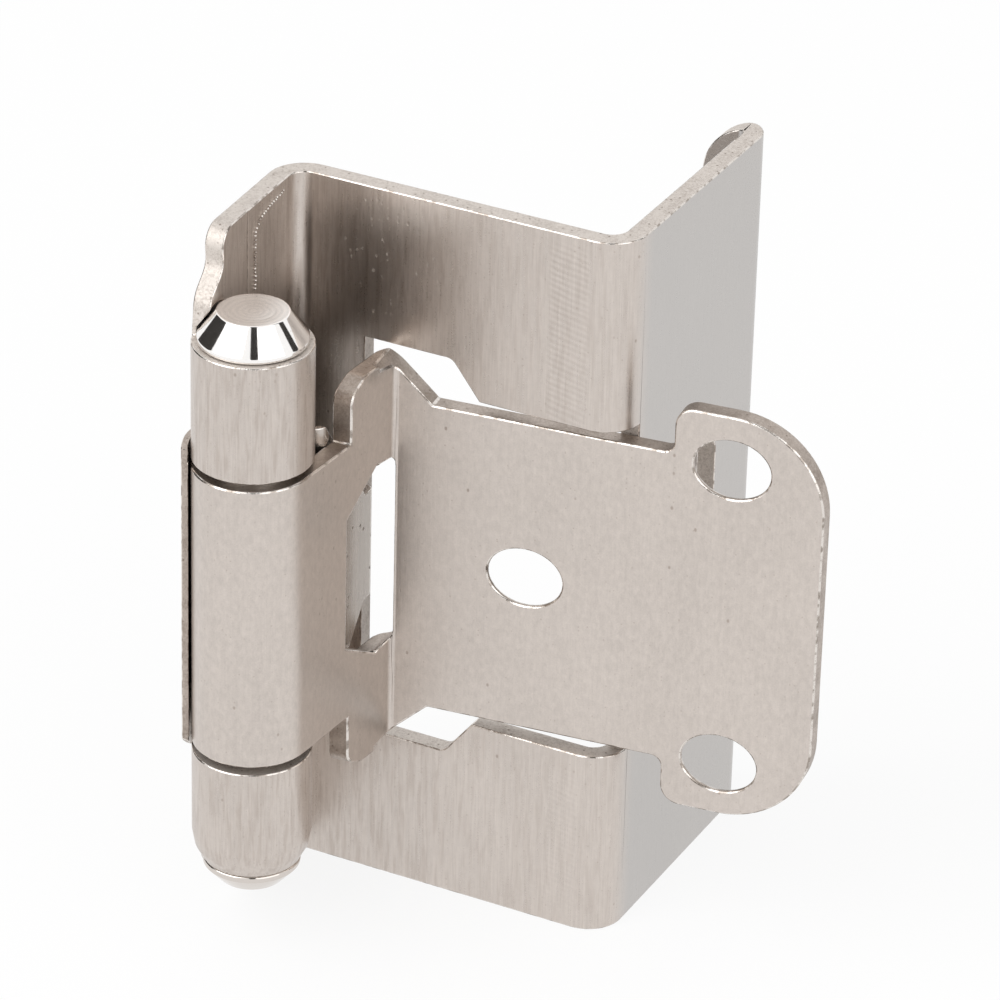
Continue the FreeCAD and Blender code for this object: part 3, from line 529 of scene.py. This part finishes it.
@dataclass(frozen=True)
class WornRimAndHighlight:
    """The rolled-over rim of a stamped sheet, painted brighter than the plate as a highlight along the edge,
    with dull patches of wear.
    """

    name: str
    # The rim's body colour is a painted highlight, brighter than the plate.
    body: Colour = (0.76, 0.71, 0.665)
    dull: Colour = (0.27, 0.225, 0.19)
    gloss: float = 0.2
    dull_patches: float = 0.8
    dull_nicks: float = 0.35
    relief: float = 0.012

    def build(self) -> bpy.types.Material:
        """Makes the material.

        Returns:
            The finished material.
        """
        recipe = Recipe(self.name)
        place = recipe.place()
        wear = recipe.noise(place, scale=1.3, detail=4.0)
        nicks = recipe.noise(place, scale=9.0)
        dulled = wear.fade(0.47, 0.62) * self.dull_patches + nicks.fade(0.58, 0.68) * self.dull_nicks
        colour = recipe.blend(dulled.at_most(1.0), self.body, self.dull)
        return recipe.metal(colour, self.gloss + nicks.swing(0.25), nicks, self.relief)


@dataclass(frozen=True)
class TurnedNickel:
    """Bright nickel on a turned pin: mirror cones, the lower one darker as painted shade, and lathe rings on
    the flat heads.
    """

    name: str
    body: Colour = (0.92, 0.87, 0.83)
    cone: Colour = (0.95, 0.93, 0.91)
    # The lower cone's colour is painted shade, darker than the upper cone's.
    shaded_low_cone: Colour = (0.66, 0.61, 0.57)
    pitted: Colour = (0.30, 0.26, 0.23)
    gloss: float = 0.06
    flat_gloss: float = 0.24
    ring_radians: float = 15.0
    relief: float = 0.002

    def build(self) -> bpy.types.Material:
        """Makes the material.

        Returns:
            The finished material.
        """
        recipe = Recipe(self.name)
        place = recipe.place()
        across, depth, up = recipe.parts(place)
        flat = recipe.facing()[2].size().fade(0.86, 0.97)
        radius = (across.squared() + depth.squared()).root() + recipe.noise(place, scale=0.6).swing(0.5)
        rings = (radius * self.ring_radians).wave() * 0.5 + 0.5
        scuffs = recipe.noise(place, scale=3.0, detail=4.0, twist=0.8)
        pits = recipe.specks(place, scale=2.2, reach=0.2, chance=0.05)
        tone = 1.0 + rings.swing(0.08) * flat + scuffs.swing(0.07)
        # Painted shade: the lower head's cone is darker than the upper head's.
        cone = recipe.blend(up.fade(-5.0, 5.0), self.shaded_low_cone, self.cone)
        colour = recipe.shaded(recipe.blend(flat, cone, self.body), tone)
        colour = recipe.blend(pits * 0.6, colour, self.pitted)
        roughness = self.gloss + flat * (self.flat_gloss - self.gloss) + scuffs.swing(0.15).at_least(0.0)
        height = rings * flat * 0.4 + scuffs * 0.3 - pits
        return recipe.metal(colour, roughness, height, self.relief)


@dataclass(frozen=True)
class SpringStrip:
    """Cold-rolled spring strip, smooth and a little brown."""

    name: str
    body: Colour = (0.56, 0.515, 0.475)
    dark: Colour = (0.26, 0.22, 0.19)
    gloss: float = 0.26
    rusted: float = 0.7
    relief: float = 0.004

    def build(self) -> bpy.types.Material:
        """Makes the material.

        Returns:
            The finished material.
        """
        recipe = Recipe(self.name)
        place = recipe.place()
        roll = recipe.noise(place, scale=3.0, detail=3.0, along=0.08)
        cloud = recipe.noise(place, scale=0.4, detail=3.0)
        rust = recipe.specks(place, scale=1.6, reach=0.3, chance=0.05)
        tone = 1.0 + roll.swing(0.25) + cloud.swing(0.2)
        colour = recipe.blend(rust * self.rusted, recipe.shaded(self.body, tone), self.dark)
        roughness = self.gloss + roll.swing(0.15) + rust * 0.3
        return recipe.metal(colour, roughness, roll - rust, self.relief)


@dataclass(frozen=True)
class PaleGround:
    """The plain pale floor: white to the camera and to metal, and it keeps the object's shadow."""

    name: str
    colour: Colour = (0.86, 0.86, 0.86)
    shown_white: float = 0.86

    def build(self) -> bpy.types.Material:
        """Makes the material.

        Returns:
            The finished material.
        """
        recipe = Recipe(self.name)
        matt = recipe.node("ShaderNodeBsdfDiffuse", {}, {"Color": opaque(self.colour)})
        glow = recipe.node("ShaderNodeEmission", {}, {"Color": opaque(WHITE), "Strength": 1.0})
        white = Line(recipe, white_rays(recipe.tree)) * self.shown_white
        return recipe.end(recipe.node(
            "ShaderNodeMixShader", {}, {0: white, 1: matt.outputs[0], 2: glow.outputs[0]}
        ))


@dataclass(frozen=True)
class BlackCloth:
    """The studio's black cards."""

    name: str
    colour: Colour = (0.045, 0.042, 0.04)

    def build(self) -> bpy.types.Material:
        """Makes the material.

        Returns:
            The finished material.
        """
        recipe = Recipe(self.name)
        return recipe.end(recipe.node("ShaderNodeBsdfDiffuse", {}, {"Color": opaque(self.colour)}))


# ---- Shaping


def evaluated_mesh(piece: bpy.types.Object) -> bpy.types.Mesh:
    """A piece's mesh with its modifiers applied.

    Args:
        piece: The piece, which stays as it is.

    Returns:
        The new mesh.
    """
    graph = bpy.context.evaluated_depsgraph_get()
    return bpy.data.meshes.new_from_object(
        piece.evaluated_get(graph), preserve_all_data_layers=True, depsgraph=graph
    )


def new_piece(name: str, mesh: bpy.types.Mesh) -> bpy.types.Object:
    """Puts an object of a mesh in the scene, with its origin at the frame's origin.

    Args:
        name: The object's name.
        mesh: Its mesh, which holds its place.

    Returns:
        The new object.
    """
    piece = bpy.data.objects.new(name, mesh)
    bpy.context.scene.collection.objects.link(piece)
    return piece


def quad(
    name: str, corners: Sequence[Sequence[float]], finish: bpy.types.Material
) -> bpy.types.Object:
    """A flat piece of the stage with four corners.

    Args:
        name: The piece's name.
        corners: Its corners in metres, in order round it.
        finish: Its material.

    Returns:
        The piece.
    """
    mesh = bpy.data.meshes.new(name)
    mesh.from_pydata(corners, [], [(0, 1, 2, 3)])
    mesh.materials.append(finish)
    piece = new_piece(name, mesh)
    return piece


def spread_points(points: Sequence[Vector], share: float = 0.6) -> list[Vector]:
    """A triangle's middle, and a spot that share of the way from there to each corner."""
    middle = (points[0] + points[1] + points[2]) / 3
    return [middle, *(middle.lerp(point, share) for point in points)]


@dataclass(frozen=True)
class Punch:
    """A through cut: an outline in Y and Z, pressed along X between two depths, turned about the pin."""

    outline: tuple[tuple[float, float], ...]
    start: float
    end: float
    turn: float

    def mesh(self) -> bpy.types.Mesh:
        """The punch as a closed prism.

        Returns:
            Its mesh, in metres, with its faces pointing outwards.
        """
        count = len(self.outline)
        points = [Vector((depth, y, z)) * MM for depth in (self.start, self.end) for y, z in self.outline]
        sides = [(i, (i + 1) % count, count + (i + 1) % count, count + i) for i in range(count)]
        made = bpy.data.meshes.new("punch")
        made.from_pydata(points, [], [tuple(range(count))[::-1], tuple(range(count, 2 * count)), *sides])
        made.transform(Matrix.Rotation(math.radians(self.turn), 4, "Z"))
        form = bmesh.new()
        form.from_mesh(made)
        bmesh.ops.recalc_face_normals(form, faces=form.faces)
        form.to_mesh(made)
        form.free()
        return made

    def through(self, sheet: bpy.types.Mesh) -> bpy.types.Mesh:
        """Takes the punch out of a copy of a sheet.

        Args:
            sheet: The sheet's mesh, which stays as it is.

        Returns:
            The punched copy.
        """
        body, tool = new_piece("punched", sheet.copy()), new_piece("punch", self.mesh())
        bite = body.modifiers.new("bite", "BOOLEAN")
        bite.operation = "DIFFERENCE"
        bite.solver = "EXACT"
        bite.object = tool
        punched = evaluated_mesh(body)
        for used in (body, tool):
            spent = used.data
            bpy.data.objects.remove(used)
            bpy.data.meshes.remove(spent)
        return punched


@dataclass
class StampedSheet:
    """Rebuilds a CAD sheet with rounded rims and separate finishes for skin, cut faces and rims.

    Lengths are in millimetres. The sheet is its thickness, the rim the rounding's width, and the
    seam a box of points that are welded into one line.
    """

    node: str
    piece: str
    body: str
    slot: str
    sheet: float
    rim: float
    finishes: tuple[bpy.types.Material, bpy.types.Material, bpy.types.Material]
    merge: float = 0.002
    flat_angle: float = 0.4
    rim_angle: float = 34.0
    stray: float = 1.1
    shading_weight: int = 80
    punch: Punch | None = None
    seam: tuple[Point, Point] | None = None
    seam_width: float = 0.04
    film_area: float = 0.1
    film_gap: float = 0.005

    def build(self) -> bpy.types.Object:
        """Builds the dressed piece and puts it in the CAD node's place.

        Returns:
            The finished object.
        """
        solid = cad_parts[self.node].data
        form = bmesh.new()
        form.from_mesh(self.punch.through(solid) if self.punch else solid)
        bmesh.ops.remove_doubles(form, verts=form.verts, dist=self.merge * MM)
        bmesh.ops.dissolve_degenerate(form, edges=form.edges, dist=self.merge * MM)
        if self.punch:
            self._drop_film(form)
        if self.seam:
            self._weld_seam(form)
        tree = BVHTree.FromBMesh(form)
        bmesh.ops.dissolve_limit(
            form, angle_limit=math.radians(self.flat_angle), use_dissolve_boundaries=False,
            verts=form.verts, edges=form.edges,
        )
        self._sort_faces(form, tree)
        for face in form.faces:
            face.smooth = True
        for edge in form.edges:
            if len(edge.link_faces) == 2:
                edge.smooth = edge.calc_face_angle(0.0) < math.radians(self.rim_angle)
        mesh = bpy.data.meshes.new(self.piece)
        form.to_mesh(mesh)
        form.free()
        for finish in self.finishes:
            mesh.materials.append(finish)
        piece = new_piece(self.piece, mesh)
        self._round_rims(piece, tree)
        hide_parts(self.node)
        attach(piece, self.body)
        return piece

    def _drop_film(self, form: bmesh.types.BMesh) -> None:
        """Takes out the film with no thickness that a cut flush with an older cut leaves standing.

        Args:
            form: The punched sheet, changed in place.
        """
        tree = BVHTree.FromBMesh(form)
        least_area, against = self.film_area * MM * MM, -0.99
        film = []
        for face in form.faces:
            near = tree.find_nearest_range(face.calc_center_median(), self.film_gap * MM)
            if face.calc_area() > least_area and any(face.normal.dot(found[1]) < against for found in near):
                film.append(face)
        bmesh.ops.delete(form, geom=film, context="FACES")
        bmesh.ops.remove_doubles(form, verts=form.verts, dist=2 * self.merge * MM)
        bmesh.ops.holes_fill(form, edges=[edge for edge in form.edges if edge.is_boundary])

    def _weld_seam(self, form: bmesh.types.BMesh) -> None:
        """Welds the seam's points, so that no sliver of a face shows there as a dark line.

        Args:
            form: The sheet, changed in place.
        """
        low, high = self.seam
        near = [
            vertex for vertex in form.verts
            if all(least <= at / MM <= most for least, at, most in zip(low, vertex.co, high))
        ]
        bmesh.ops.remove_doubles(form, verts=near, dist=self.seam_width * MM)

    def _sort_faces(self, form: bmesh.types.BMesh, tree: BVHTree) -> None:
        """Marks a face as skin where most of it has the sheet's other side one thickness below, else as cut.

        Args:
            form: The sheet with its flat faces joined.
            tree: The same sheet, for rays.
        """
        skin_area = [0.0] * len(form.faces)
        form.faces.ensure_lookup_table()
        form.faces.index_update()
        for corners in form.calc_loop_triangles():
            face = corners[0].face
            points = [corner.vert.co for corner in corners]
            spots = spread_points(points)
            hits = sum(self._backed(tree, spot, face.normal) for spot in spots)
            skin_area[face.index] += area_tri(*points) * hits / len(spots)
        for face in form.faces:
            skin = skin_area[face.index] > 0.5 * face.calc_area()
            face.material_index = (Surface.SKIN if skin else Surface.CUT).value

    def _backed(self, tree: BVHTree, spot: Vector, outward: Vector) -> bool:
        """Whether the sheet's other side lies one thickness below a spot.

        Args:
            tree: The sheet, for rays.
            spot: A point on its surface.
            outward: The surface's direction there.

        Returns:
            True on the sheet's two broad sides.
        """
        start, against, nearest, farthest = 0.01 * MM, -0.8, 0.6 * self.sheet * MM, 1.3 * self.sheet * MM
        _, normal, _, gap = tree.ray_cast(spot - outward * start, -outward)
        if normal is None or normal.dot(outward) > against:
            return False
        return nearest < gap + start < farthest

    def _round_rims(self, piece: bpy.types.Object, tree: BVHTree) -> None:
        """Rounds the sharp edges with a small bevel in the rim's finish, and shades the flats evenly.

        Args:
            piece: The sorted sheet.
            tree: The sheet as the CAD has it; a point that strays from it goes back to it.
        """
        corners = [Vector(corner) for corner in piece.bound_box]
        low, high = ([pick(corner[axis] for corner in corners) for axis in range(3)] for pick in (min, max))
        rounding = piece.modifiers.new("rims", "BEVEL")
        rounding.width = self.rim * MM
        rounding.segments = 2
        rounding.limit_method = "ANGLE"
        rounding.angle_limit = math.radians(self.rim_angle)
        rounding.use_clamp_overlap = False
        rounding.material = Surface.RIM.value
        self._apply(piece)
        for vertex in piece.data.vertices:
            near, _, _, gap = tree.find_nearest(vertex.co)
            if gap > self.stray * self.rim * MM:
                vertex.co = near
            for axis in range(3):
                vertex.co[axis] = min(max(vertex.co[axis], low[axis]), high[axis])
        shading = piece.modifiers.new("shading", "WEIGHTED_NORMAL")
        shading.keep_sharp = True
        shading.weight = self.shading_weight
        self._apply(piece)

    def _apply(self, piece: bpy.types.Object) -> None:
        """Turns the piece and its modifiers into a plain mesh.

        Args:
            piece: The piece, changed in place.
        """
        mesh, old = evaluated_mesh(piece), piece.data
        piece.modifiers.clear()
        piece.data = mesh
        bpy.data.meshes.remove(old)
        mesh.name = self.piece


# ---- Geometry Nodes


class Builder:
    """A Geometry Nodes tree written as method calls."""

    def __init__(self, name: str) -> None:
        """Starts a tree with one geometry input and one geometry output.

        Args:
            name: The tree's name.
        """
        self.tree = bpy.data.node_groups.new(name, "GeometryNodeTree")
        for side in ("INPUT", "OUTPUT"):
            self.tree.interface.new_socket("Geometry", in_out=side, socket_type="NodeSocketGeometry")
        self.start = self.tree.nodes.new("NodeGroupInput")
        self.end = self.tree.nodes.new("NodeGroupOutput")

    def number(self, name: str, whole: bool = False) -> Socket:
        """Gives the tree a named input.

        Args:
            name: The input's name.
            whole: Whether it is a whole number.

        Returns:
            The socket that carries it inside the tree.
        """
        kind = "NodeSocketInt" if whole else "NodeSocketFloat"
        self.tree.interface.new_socket(name, in_out="INPUT", socket_type=kind)
        return self.start.outputs[name]

    def node(self, kind: str, settings: dict[str, Any], sockets: dict[Any, Any]) -> bpy.types.Node:
        """Adds a node of any kind to this tree."""
        return add_node(self.tree, kind, settings, sockets)

    def random(self, low: Point, high: Point, seed: int) -> Socket:
        """A random vector for each point.

        Args:
            low: Its lowest numbers.
            high: Its highest numbers.
            seed: The fixed seed.

        Returns:
            The vector's socket.
        """
        made = self.node(
            "FunctionNodeRandomValue", {"data_type": "FLOAT_VECTOR"}, {0: low, 1: high, "Seed": seed}
        )
        return made.outputs[0]

    def close(self, geometry: Socket, finish: bpy.types.Material) -> None:
        """Ends the tree in realized instances of one finish.

        Args:
            geometry: What the tree has made.
            finish: The material that it gets.
        """
        real = self.node("GeometryNodeRealizeInstances", {}, {0: geometry})
        dressed = self.node("GeometryNodeSetMaterial", {}, {"Geometry": real.outputs[0], "Material": finish})
        self.tree.links.new(dressed.outputs[0], self.end.inputs[0])

    def run(self, piece: bpy.types.Object, values: dict[str, float]) -> None:
        """Runs the tree on a piece, and leaves its result as a plain mesh with no modifier.

        Args:
            piece: The object whose geometry goes in.
            values: Named inputs and their values.
        """
        modifier = piece.modifiers.new(self.tree.name, "NODES")
        modifier.node_group = self.tree
        for item in self.tree.interface.items_tree:
            if item.in_out == "INPUT" and item.name in values:
                modifier[item.identifier] = values[item.name]
        mesh = evaluated_mesh(piece)
        piece.modifiers.clear()
        piece.data = mesh
        mesh.name = piece.name


def polyline(name: str, points: Sequence[Point]) -> bpy.types.Object:
    """An object whose mesh is one open run of edges.

    Args:
        name: The object's name.
        points: The points that it runs through, in millimetres.

    Returns:
        The new object.
    """
    mesh = bpy.data.meshes.new(name)
    placed = [Vector(point) * MM for point in points]
    mesh.from_pydata(placed, [(index, index + 1) for index in range(len(placed) - 1)], [])
    return new_piece(name, mesh)


@dataclass
class HingePin:
    """The riveted pin: one profile turned about the barrel's axis, in millimetres."""

    shank: float = 2.85
    seat: float = 21.2
    rim_height: float = 0.45
    rim: float = 4.0
    bottom_rim: float = 3.62
    top_face: float = 2.62
    top_cone: float = 1.9
    bottom_face: float = 2.5
    bottom_cone: float = 1.3
    softness: float = 0.16
    dish: float = 0.05
    dish_radius: float = 1.572
    dish_slope: float = 0.04
    face_edge: float = 0.1
    edge_drop: float = 0.02
    turns: int = 128
    fillet_points: int = 4
    path: float = 1.0
    weld: float = 0.001

    @property
    def rim_top(self) -> float:
        """Height of a head's widest edge."""
        return self.seat + self.rim_height

    @property
    def top(self) -> float:
        """Height of the upper flat."""
        return self.rim_top + self.top_cone

    def profile(self) -> list[tuple[float, float]]:
        """The pin's half outline from its top centre to its bottom centre.

        Returns:
            Each corner's radius and height.
        """
        bottom = -(self.rim_top + self.bottom_cone)
        return [
            (0.0, self.top - self.dish), (self.dish_radius, self.top - self.dish_slope),
            (self.top_face - self.face_edge, self.top), (self.top_face, self.top - self.edge_drop),
            (self.rim, self.rim_top), (self.rim, self.seat),
            (self.shank, self.seat), (self.shank, -self.seat),
            (self.bottom_rim, -self.seat), (self.bottom_rim, -self.rim_top),
            (self.bottom_face, bottom + self.edge_drop), (0.0, bottom),
        ]

    def build(self, finish: bpy.types.Material) -> bpy.types.Object:
        """Turns the profile and puts the result in the CAD node's place.

        Args:
            finish: The pin's material.

        Returns:
            The finished object.
        """
        piece = polyline(
            "pin_turned", [(radius - self.path, -height, 0.0) for radius, height in self.profile()]
        )
        tree = Builder("turned_pin")
        turns, path, softness = tree.number("Turns", whole=True), tree.number("Path"), tree.number("Softness")
        outline = tree.node("GeometryNodeMeshToCurve", {}, {0: tree.start.outputs[0]})
        soft = tree.node("GeometryNodeFilletCurve", {"mode": "POLY"}, {
            "Curve": outline.outputs[0], "Radius": softness, "Limit Radius": True, "Count": self.fillet_points,
        })
        circle = tree.node("GeometryNodeCurvePrimitiveCircle", {}, {"Resolution": turns, "Radius": path})
        swept = tree.node(
            "GeometryNodeCurveToMesh", {}, {"Curve": circle.outputs[0], "Profile Curve": soft.outputs[0]}
        )
        closed = tree.node(
            "GeometryNodeMergeByDistance", {}, {"Geometry": swept.outputs[0], "Distance": self.weld * MM}
        )
        tree.close(closed.outputs[0], finish)
        tree.run(piece, {"Turns": self.turns, "Path": self.path * MM, "Softness": self.softness * MM})
        self._settle(piece)
        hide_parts("hinge_pin")
        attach(piece, "frame")
        return piece

    def _settle(self, piece: bpy.types.Object) -> None:
        """Turns the swept mesh the right way up, faces outwards, and shades it smooth.

        Args:
            piece: The pin, changed in place.
        """
        mesh, clearly_below = piece.data, 0.2
        if max(vertex.co.z for vertex in mesh.vertices) < (self.top - clearly_below) * MM:
            mesh.transform(Matrix.Rotation(math.pi, 4, "X"))
        form = bmesh.new()
        form.from_mesh(mesh)
        bmesh.ops.remove_doubles(form, verts=form.verts, dist=self.weld * MM)
        bmesh.ops.recalc_face_normals(form, faces=form.faces)
        for face in form.faces:
            face.smooth = True
        form.to_mesh(mesh)
        form.free()


@dataclass(frozen=True)
class BurrRun:
    """A row of tiny raised burrs where a tool met the sheet, in millimetres."""

    name: str
    points: tuple[Point, ...]
    grain: float
    step: float
    scatter: float = 0.03
    smallest: Point = (0.8, 0.7, 0.7)
    largest: Point = (1.0, 1.0, 1.0)
    seed: int = 7

    def build(self, finish: bpy.types.Material) -> bpy.types.Object:
        """Lays the burrs along the run, on the frame wing.

        Args:
            finish: The burrs' material.

        Returns:
            The finished object.
        """
        piece = polyline(self.name, self.points)
        tree = Builder(f"{self.name}_tree")
        grain, spacing = tree.number("Grain"), tree.number("Spacing")
        run = tree.node("GeometryNodeMeshToCurve", {}, {0: tree.start.outputs[0]})
        spots = tree.node(
            "GeometryNodeResampleCurve", {"mode": "LENGTH"}, {"Curve": run.outputs[0], "Length": spacing}
        )
        dots = tree.node("GeometryNodeMeshIcoSphere", {}, {"Radius": grain, "Subdivisions": 2})
        smooth = tree.node("GeometryNodeSetShadeSmooth", {}, {"Geometry": dots.outputs[0]})
        lot = tree.random(self.smallest, self.largest, self.seed)
        spread = tree.random((-self.scatter * MM,) * 3, (self.scatter * MM,) * 3, self.seed + 1)
        moved = tree.node("GeometryNodeSetPosition", {}, {"Geometry": spots.outputs[0], "Offset": spread})
        placed = tree.node(
            "GeometryNodeInstanceOnPoints", {},
            {"Points": moved.outputs[0], "Instance": smooth.outputs[0], "Scale": lot},
        )
        tree.close(placed.outputs[0], finish)
        tree.run(piece, {"Grain": self.grain * MM, "Spacing": self.step * MM})
        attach(piece, "frame")
        return piece


# ---- Studio


def towards(turn: float, lift: float) -> tuple[Vector, Vector]:
    """Where something stands that faces the hinge.

    Args:
        turn: Radians round from the hinge's front.
        lift: Radians above the floor.

    Returns:
        Its direction from the hinge and its own right-hand direction.
    """
    away = Vector((math.sin(turn) * math.cos(lift), -math.cos(turn) * math.cos(lift), math.sin(lift)))
    return away, Vector((math.cos(turn), math.sin(turn), 0.0))


@dataclass(frozen=True)
class Lamp:
    """A soft square lamp: where it hangs and its side in metres, and its watts."""

    name: str
    place: Point
    side: float
    power: float

    def hang(self, aim: Point) -> None:
        """Hangs the lamp.

        Args:
            aim: The point it faces, in metres.
        """
        light = bpy.data.lights.new(self.name, "AREA")
        light.size = self.side
        light.energy = self.power
        hung = bpy.data.objects.new(self.name, light)
        hung.location = self.place
        hung.rotation_mode = "QUATERNION"
        hung.rotation_quaternion = (Vector(aim) - Vector(self.place)).to_track_quat("-Z", "Y")
        bpy.context.scene.collection.objects.link(hung)


@dataclass(frozen=True)
class Card:
    """A black card that only glossy rays meet, for the dark bands in the pin's bright cones.

    Its turn is to the right of the camera and its lift above the floor, in degrees. The rest is in metres.
    """

    name: str
    turn: float
    lift: float
    width: float
    height: float
    distance: float = 0.6

    def stand(self, azimuth: float, cloth: bpy.types.Material) -> None:
        """Stands the card in the studio.

        Args:
            azimuth: The camera's own turn in degrees.
            cloth: The card's material.
        """
        around, above = math.radians(azimuth + self.turn), math.radians(self.lift)
        away, right = towards(around, above)
        across = right * (self.width / 2)
        up = away.cross(right) * (self.height / 2)
        middle = away * self.distance
        corners = [middle - across - up, middle + across - up, middle + across + up, middle - across + up]
        card = quad(self.name, corners, cloth)
        card.visible_camera = card.visible_diffuse = card.visible_shadow = card.visible_transmission = False


@dataclass
class Studio:
    """A pale floor, a white room, two soft lamps and the camera at the photograph's angle.

    Angles are in degrees, and the camera's distance, its aim and the floor's height in millimetres.
    """

    azimuth: float = 26.63
    elevation: float = 28.58
    roll: float = 1.52
    aim_right: float = 17.83
    aim_up: float = 7.35
    distance: float = 413.39
    focal_share: float = 5.73948
    sensor: float = 36.0
    clip: tuple[float, float] = (0.01, 20.0)
    floor_height: float = -28.53
    floor_half: float = 1500.0
    room_light: float = 0.80
    lamp_aim: Point = (0.015, 0.015, 0.0)
    lamps: tuple[Lamp, ...] = (
        Lamp("key_lamp", (-0.45, -0.75, 0.75), side=1.1, power=7.5),
        Lamp("fill_lamp", (0.85, -0.35, 0.45), side=1.0, power=2.5),
    )
    cards: tuple[Card, ...] = (
        Card("left_flag", turn=-113.0, lift=14.0, width=0.46, height=0.46),
        Card("front_flag", turn=5.0, lift=44.0, width=0.14, height=1.0),
        Card("right_flag", turn=98.0, lift=26.0, width=0.13, height=0.8),
    )

    def axes(self) -> tuple[Vector, Vector, Vector]:
        """The camera's right, up and back directions.

        Returns:
            Three unit vectors.
        """
        turn, lift, roll = (math.radians(angle) for angle in (self.azimuth, self.elevation, self.roll))
        back, right = towards(turn, lift)
        up = back.cross(right)
        return (
            right * math.cos(roll) + up * math.sin(roll),
            up * math.cos(roll) - right * math.sin(roll),
            back,
        )

    def camera(self) -> None:
        """Makes the scene's camera."""
        right, up, back = self.axes()
        lens = bpy.data.cameras.new("camera")
        lens.sensor_width = self.sensor
        lens.lens = self.sensor * self.focal_share
        lens.clip_start, lens.clip_end = self.clip
        eye = bpy.data.objects.new("camera", lens)
        bpy.context.scene.collection.objects.link(eye)
        place = (right * self.aim_right + up * self.aim_up + back * self.distance) * MM
        turned = Matrix((right, up, back)).transposed().to_4x4()
        eye.matrix_world = Matrix.Translation(place) @ turned
        bpy.context.scene.camera = eye

    def floor(self) -> None:
        """Makes the pale floor under the lower edges."""
        half, height = self.floor_half * MM, self.floor_height * MM
        corners = [(-half, -half, height), (half, -half, height), (half, half, height), (-half, half, height)]
        quad("floor", corners, PaleGround("pale_ground").build())

    def room(self) -> None:
        """Makes the room's light: even all round, and white to the camera and to metal."""
        world = bpy.data.worlds.new("white_room")
        bpy.context.scene.world = world
        world.use_nodes = True
        tree = world.node_tree
        tree.nodes.clear()
        strength = add_node(
            tree, "ShaderNodeMix", {"data_type": "FLOAT"}, {0: white_rays(tree), 2: self.room_light, 3: 1.0}
        )
        light = add_node(
            tree, "ShaderNodeBackground", {}, {"Color": opaque(WHITE), "Strength": strength.outputs[0]}
        )
        add_node(tree, "ShaderNodeOutputWorld", {}, {"Surface": light.outputs[0]})

    def build(self) -> None:
        """Makes the camera, the floor, the lamps, the cards and the room."""
        self.camera()
        self.floor()
        for lamp in self.lamps:
            lamp.hang(self.lamp_aim)
        cloth = BlackCloth("black_cloth").build()
        for card in self.cards:
            card.stand(self.azimuth, cloth)
        self.room()


@dataclass
class Hinge:
    """The whole hinge: two stamped wings, the spring leaf, the pin and the frame wing's press marks."""

    wing_sheet: float = 1.5
    spring_sheet: float = 0.5
    frame_rim: float = 0.09
    door_rim: float = 0.13
    spring_rim: float = 0.06
    frame_seam: tuple[Point, Point] = ((-3.25, 4.6, -30.0), (-3.05, 4.75, 30.0))
    fold_slot: Punch = Punch(
        outline=((4.9, -5.35), (4.9, 5.35), (8.9, 8.1), (8.9, -7.6)), start=5.6, end=6.75, turn=6.6
    )
    press_marks: tuple[BurrRun, ...] = (
        BurrRun("tool_line", (
            (-3.16, 5.86, 21.9), (-3.16, 5.86, 26.3), (-3.2, 6.68, 27.1),
            (-3.3, 8.34, 27.5), (-3.4, 10.35, 27.7),
        ), grain=0.12, step=0.31),
        BurrRun("window_burr", ((4.4, 12.66, -16.39), (9.1, 12.66, -16.39)), grain=0.05, step=0.16),
    )

    def build(self) -> list[bpy.types.Object]:
        """Makes the finishes and every piece.

        Returns:
            The finished objects.
        """
        cut = ShearedEdge("sheared_edge").build()
        # Painted shade: a darker, browner copy of the sheared edge for the door's and the spring's cut faces.
        shaded_brown_cut = ShearedEdge(
            "shaded_brown_sheared_edge", body=(0.54, 0.475, 0.425), brown=0.32, patchy=1.3, gloss=0.42
        ).build()
        # The rims and the burrs share this finish, brighter than the plate as a painted highlight.
        rim = WornRimAndHighlight("worn_rim_and_painted_highlight").build()
        frame_skin = BrushedNickel(
            "satin_nickel_frame_skin", streak=0.11, grime_and_painted_shade=0.45, painted_side_shade=0.75,
            patch=NickedPatch(across=3.5, up=23.5, reach=7.0),
            ladders=(
                Ladder(left=16.9, right=20.0, low=13.0, high=27.5),
                Ladder(left=17.9, right=20.4, low=-27.0, high=-15.5),
            ),
        ).build()
        door_skin = BrushedNickel("satin_nickel_door_skin", streak=0.045, mottle=0.07, gloss=0.32).build()
        sheets = [
            StampedSheet(
                "frame_wing", "frame_wing_sheet", "frame", "satin_nickel_frame", self.wing_sheet,
                self.frame_rim, (frame_skin, cut, rim), seam=self.frame_seam,
            ),
            StampedSheet(
                "door_wing", "door_wing_sheet", "door", "satin_nickel_door", self.wing_sheet,
                self.door_rim, (door_skin, shaded_brown_cut, rim), punch=self.fold_slot,
            ),
            StampedSheet(
                "closing_spring", "closing_spring_leaf", "frame", "spring_steel", self.spring_sheet,
                self.spring_rim, (SpringStrip("spring_strip").build(), shaded_brown_cut, rim),
            ),
        ]
        pieces = [sheet.build() for sheet in sheets]
        pieces.append(HingePin().build(TurnedNickel("turned_nickel").build()))
        return pieces + [run.build(rim) for run in self.press_marks]


def main() -> None:
    """Builds every sub-assembly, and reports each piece."""
    logging.basicConfig(level=logging.INFO, format="%(name)s: %(message)s")
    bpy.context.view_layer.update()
    bpy.context.scene.view_settings.view_transform = "Standard"
    Studio().build()
    for piece in Hinge().build():
        log.info("%s: %d faces", piece.name, len(piece.data.polygons))


if __name__ == "__main__":
    main()
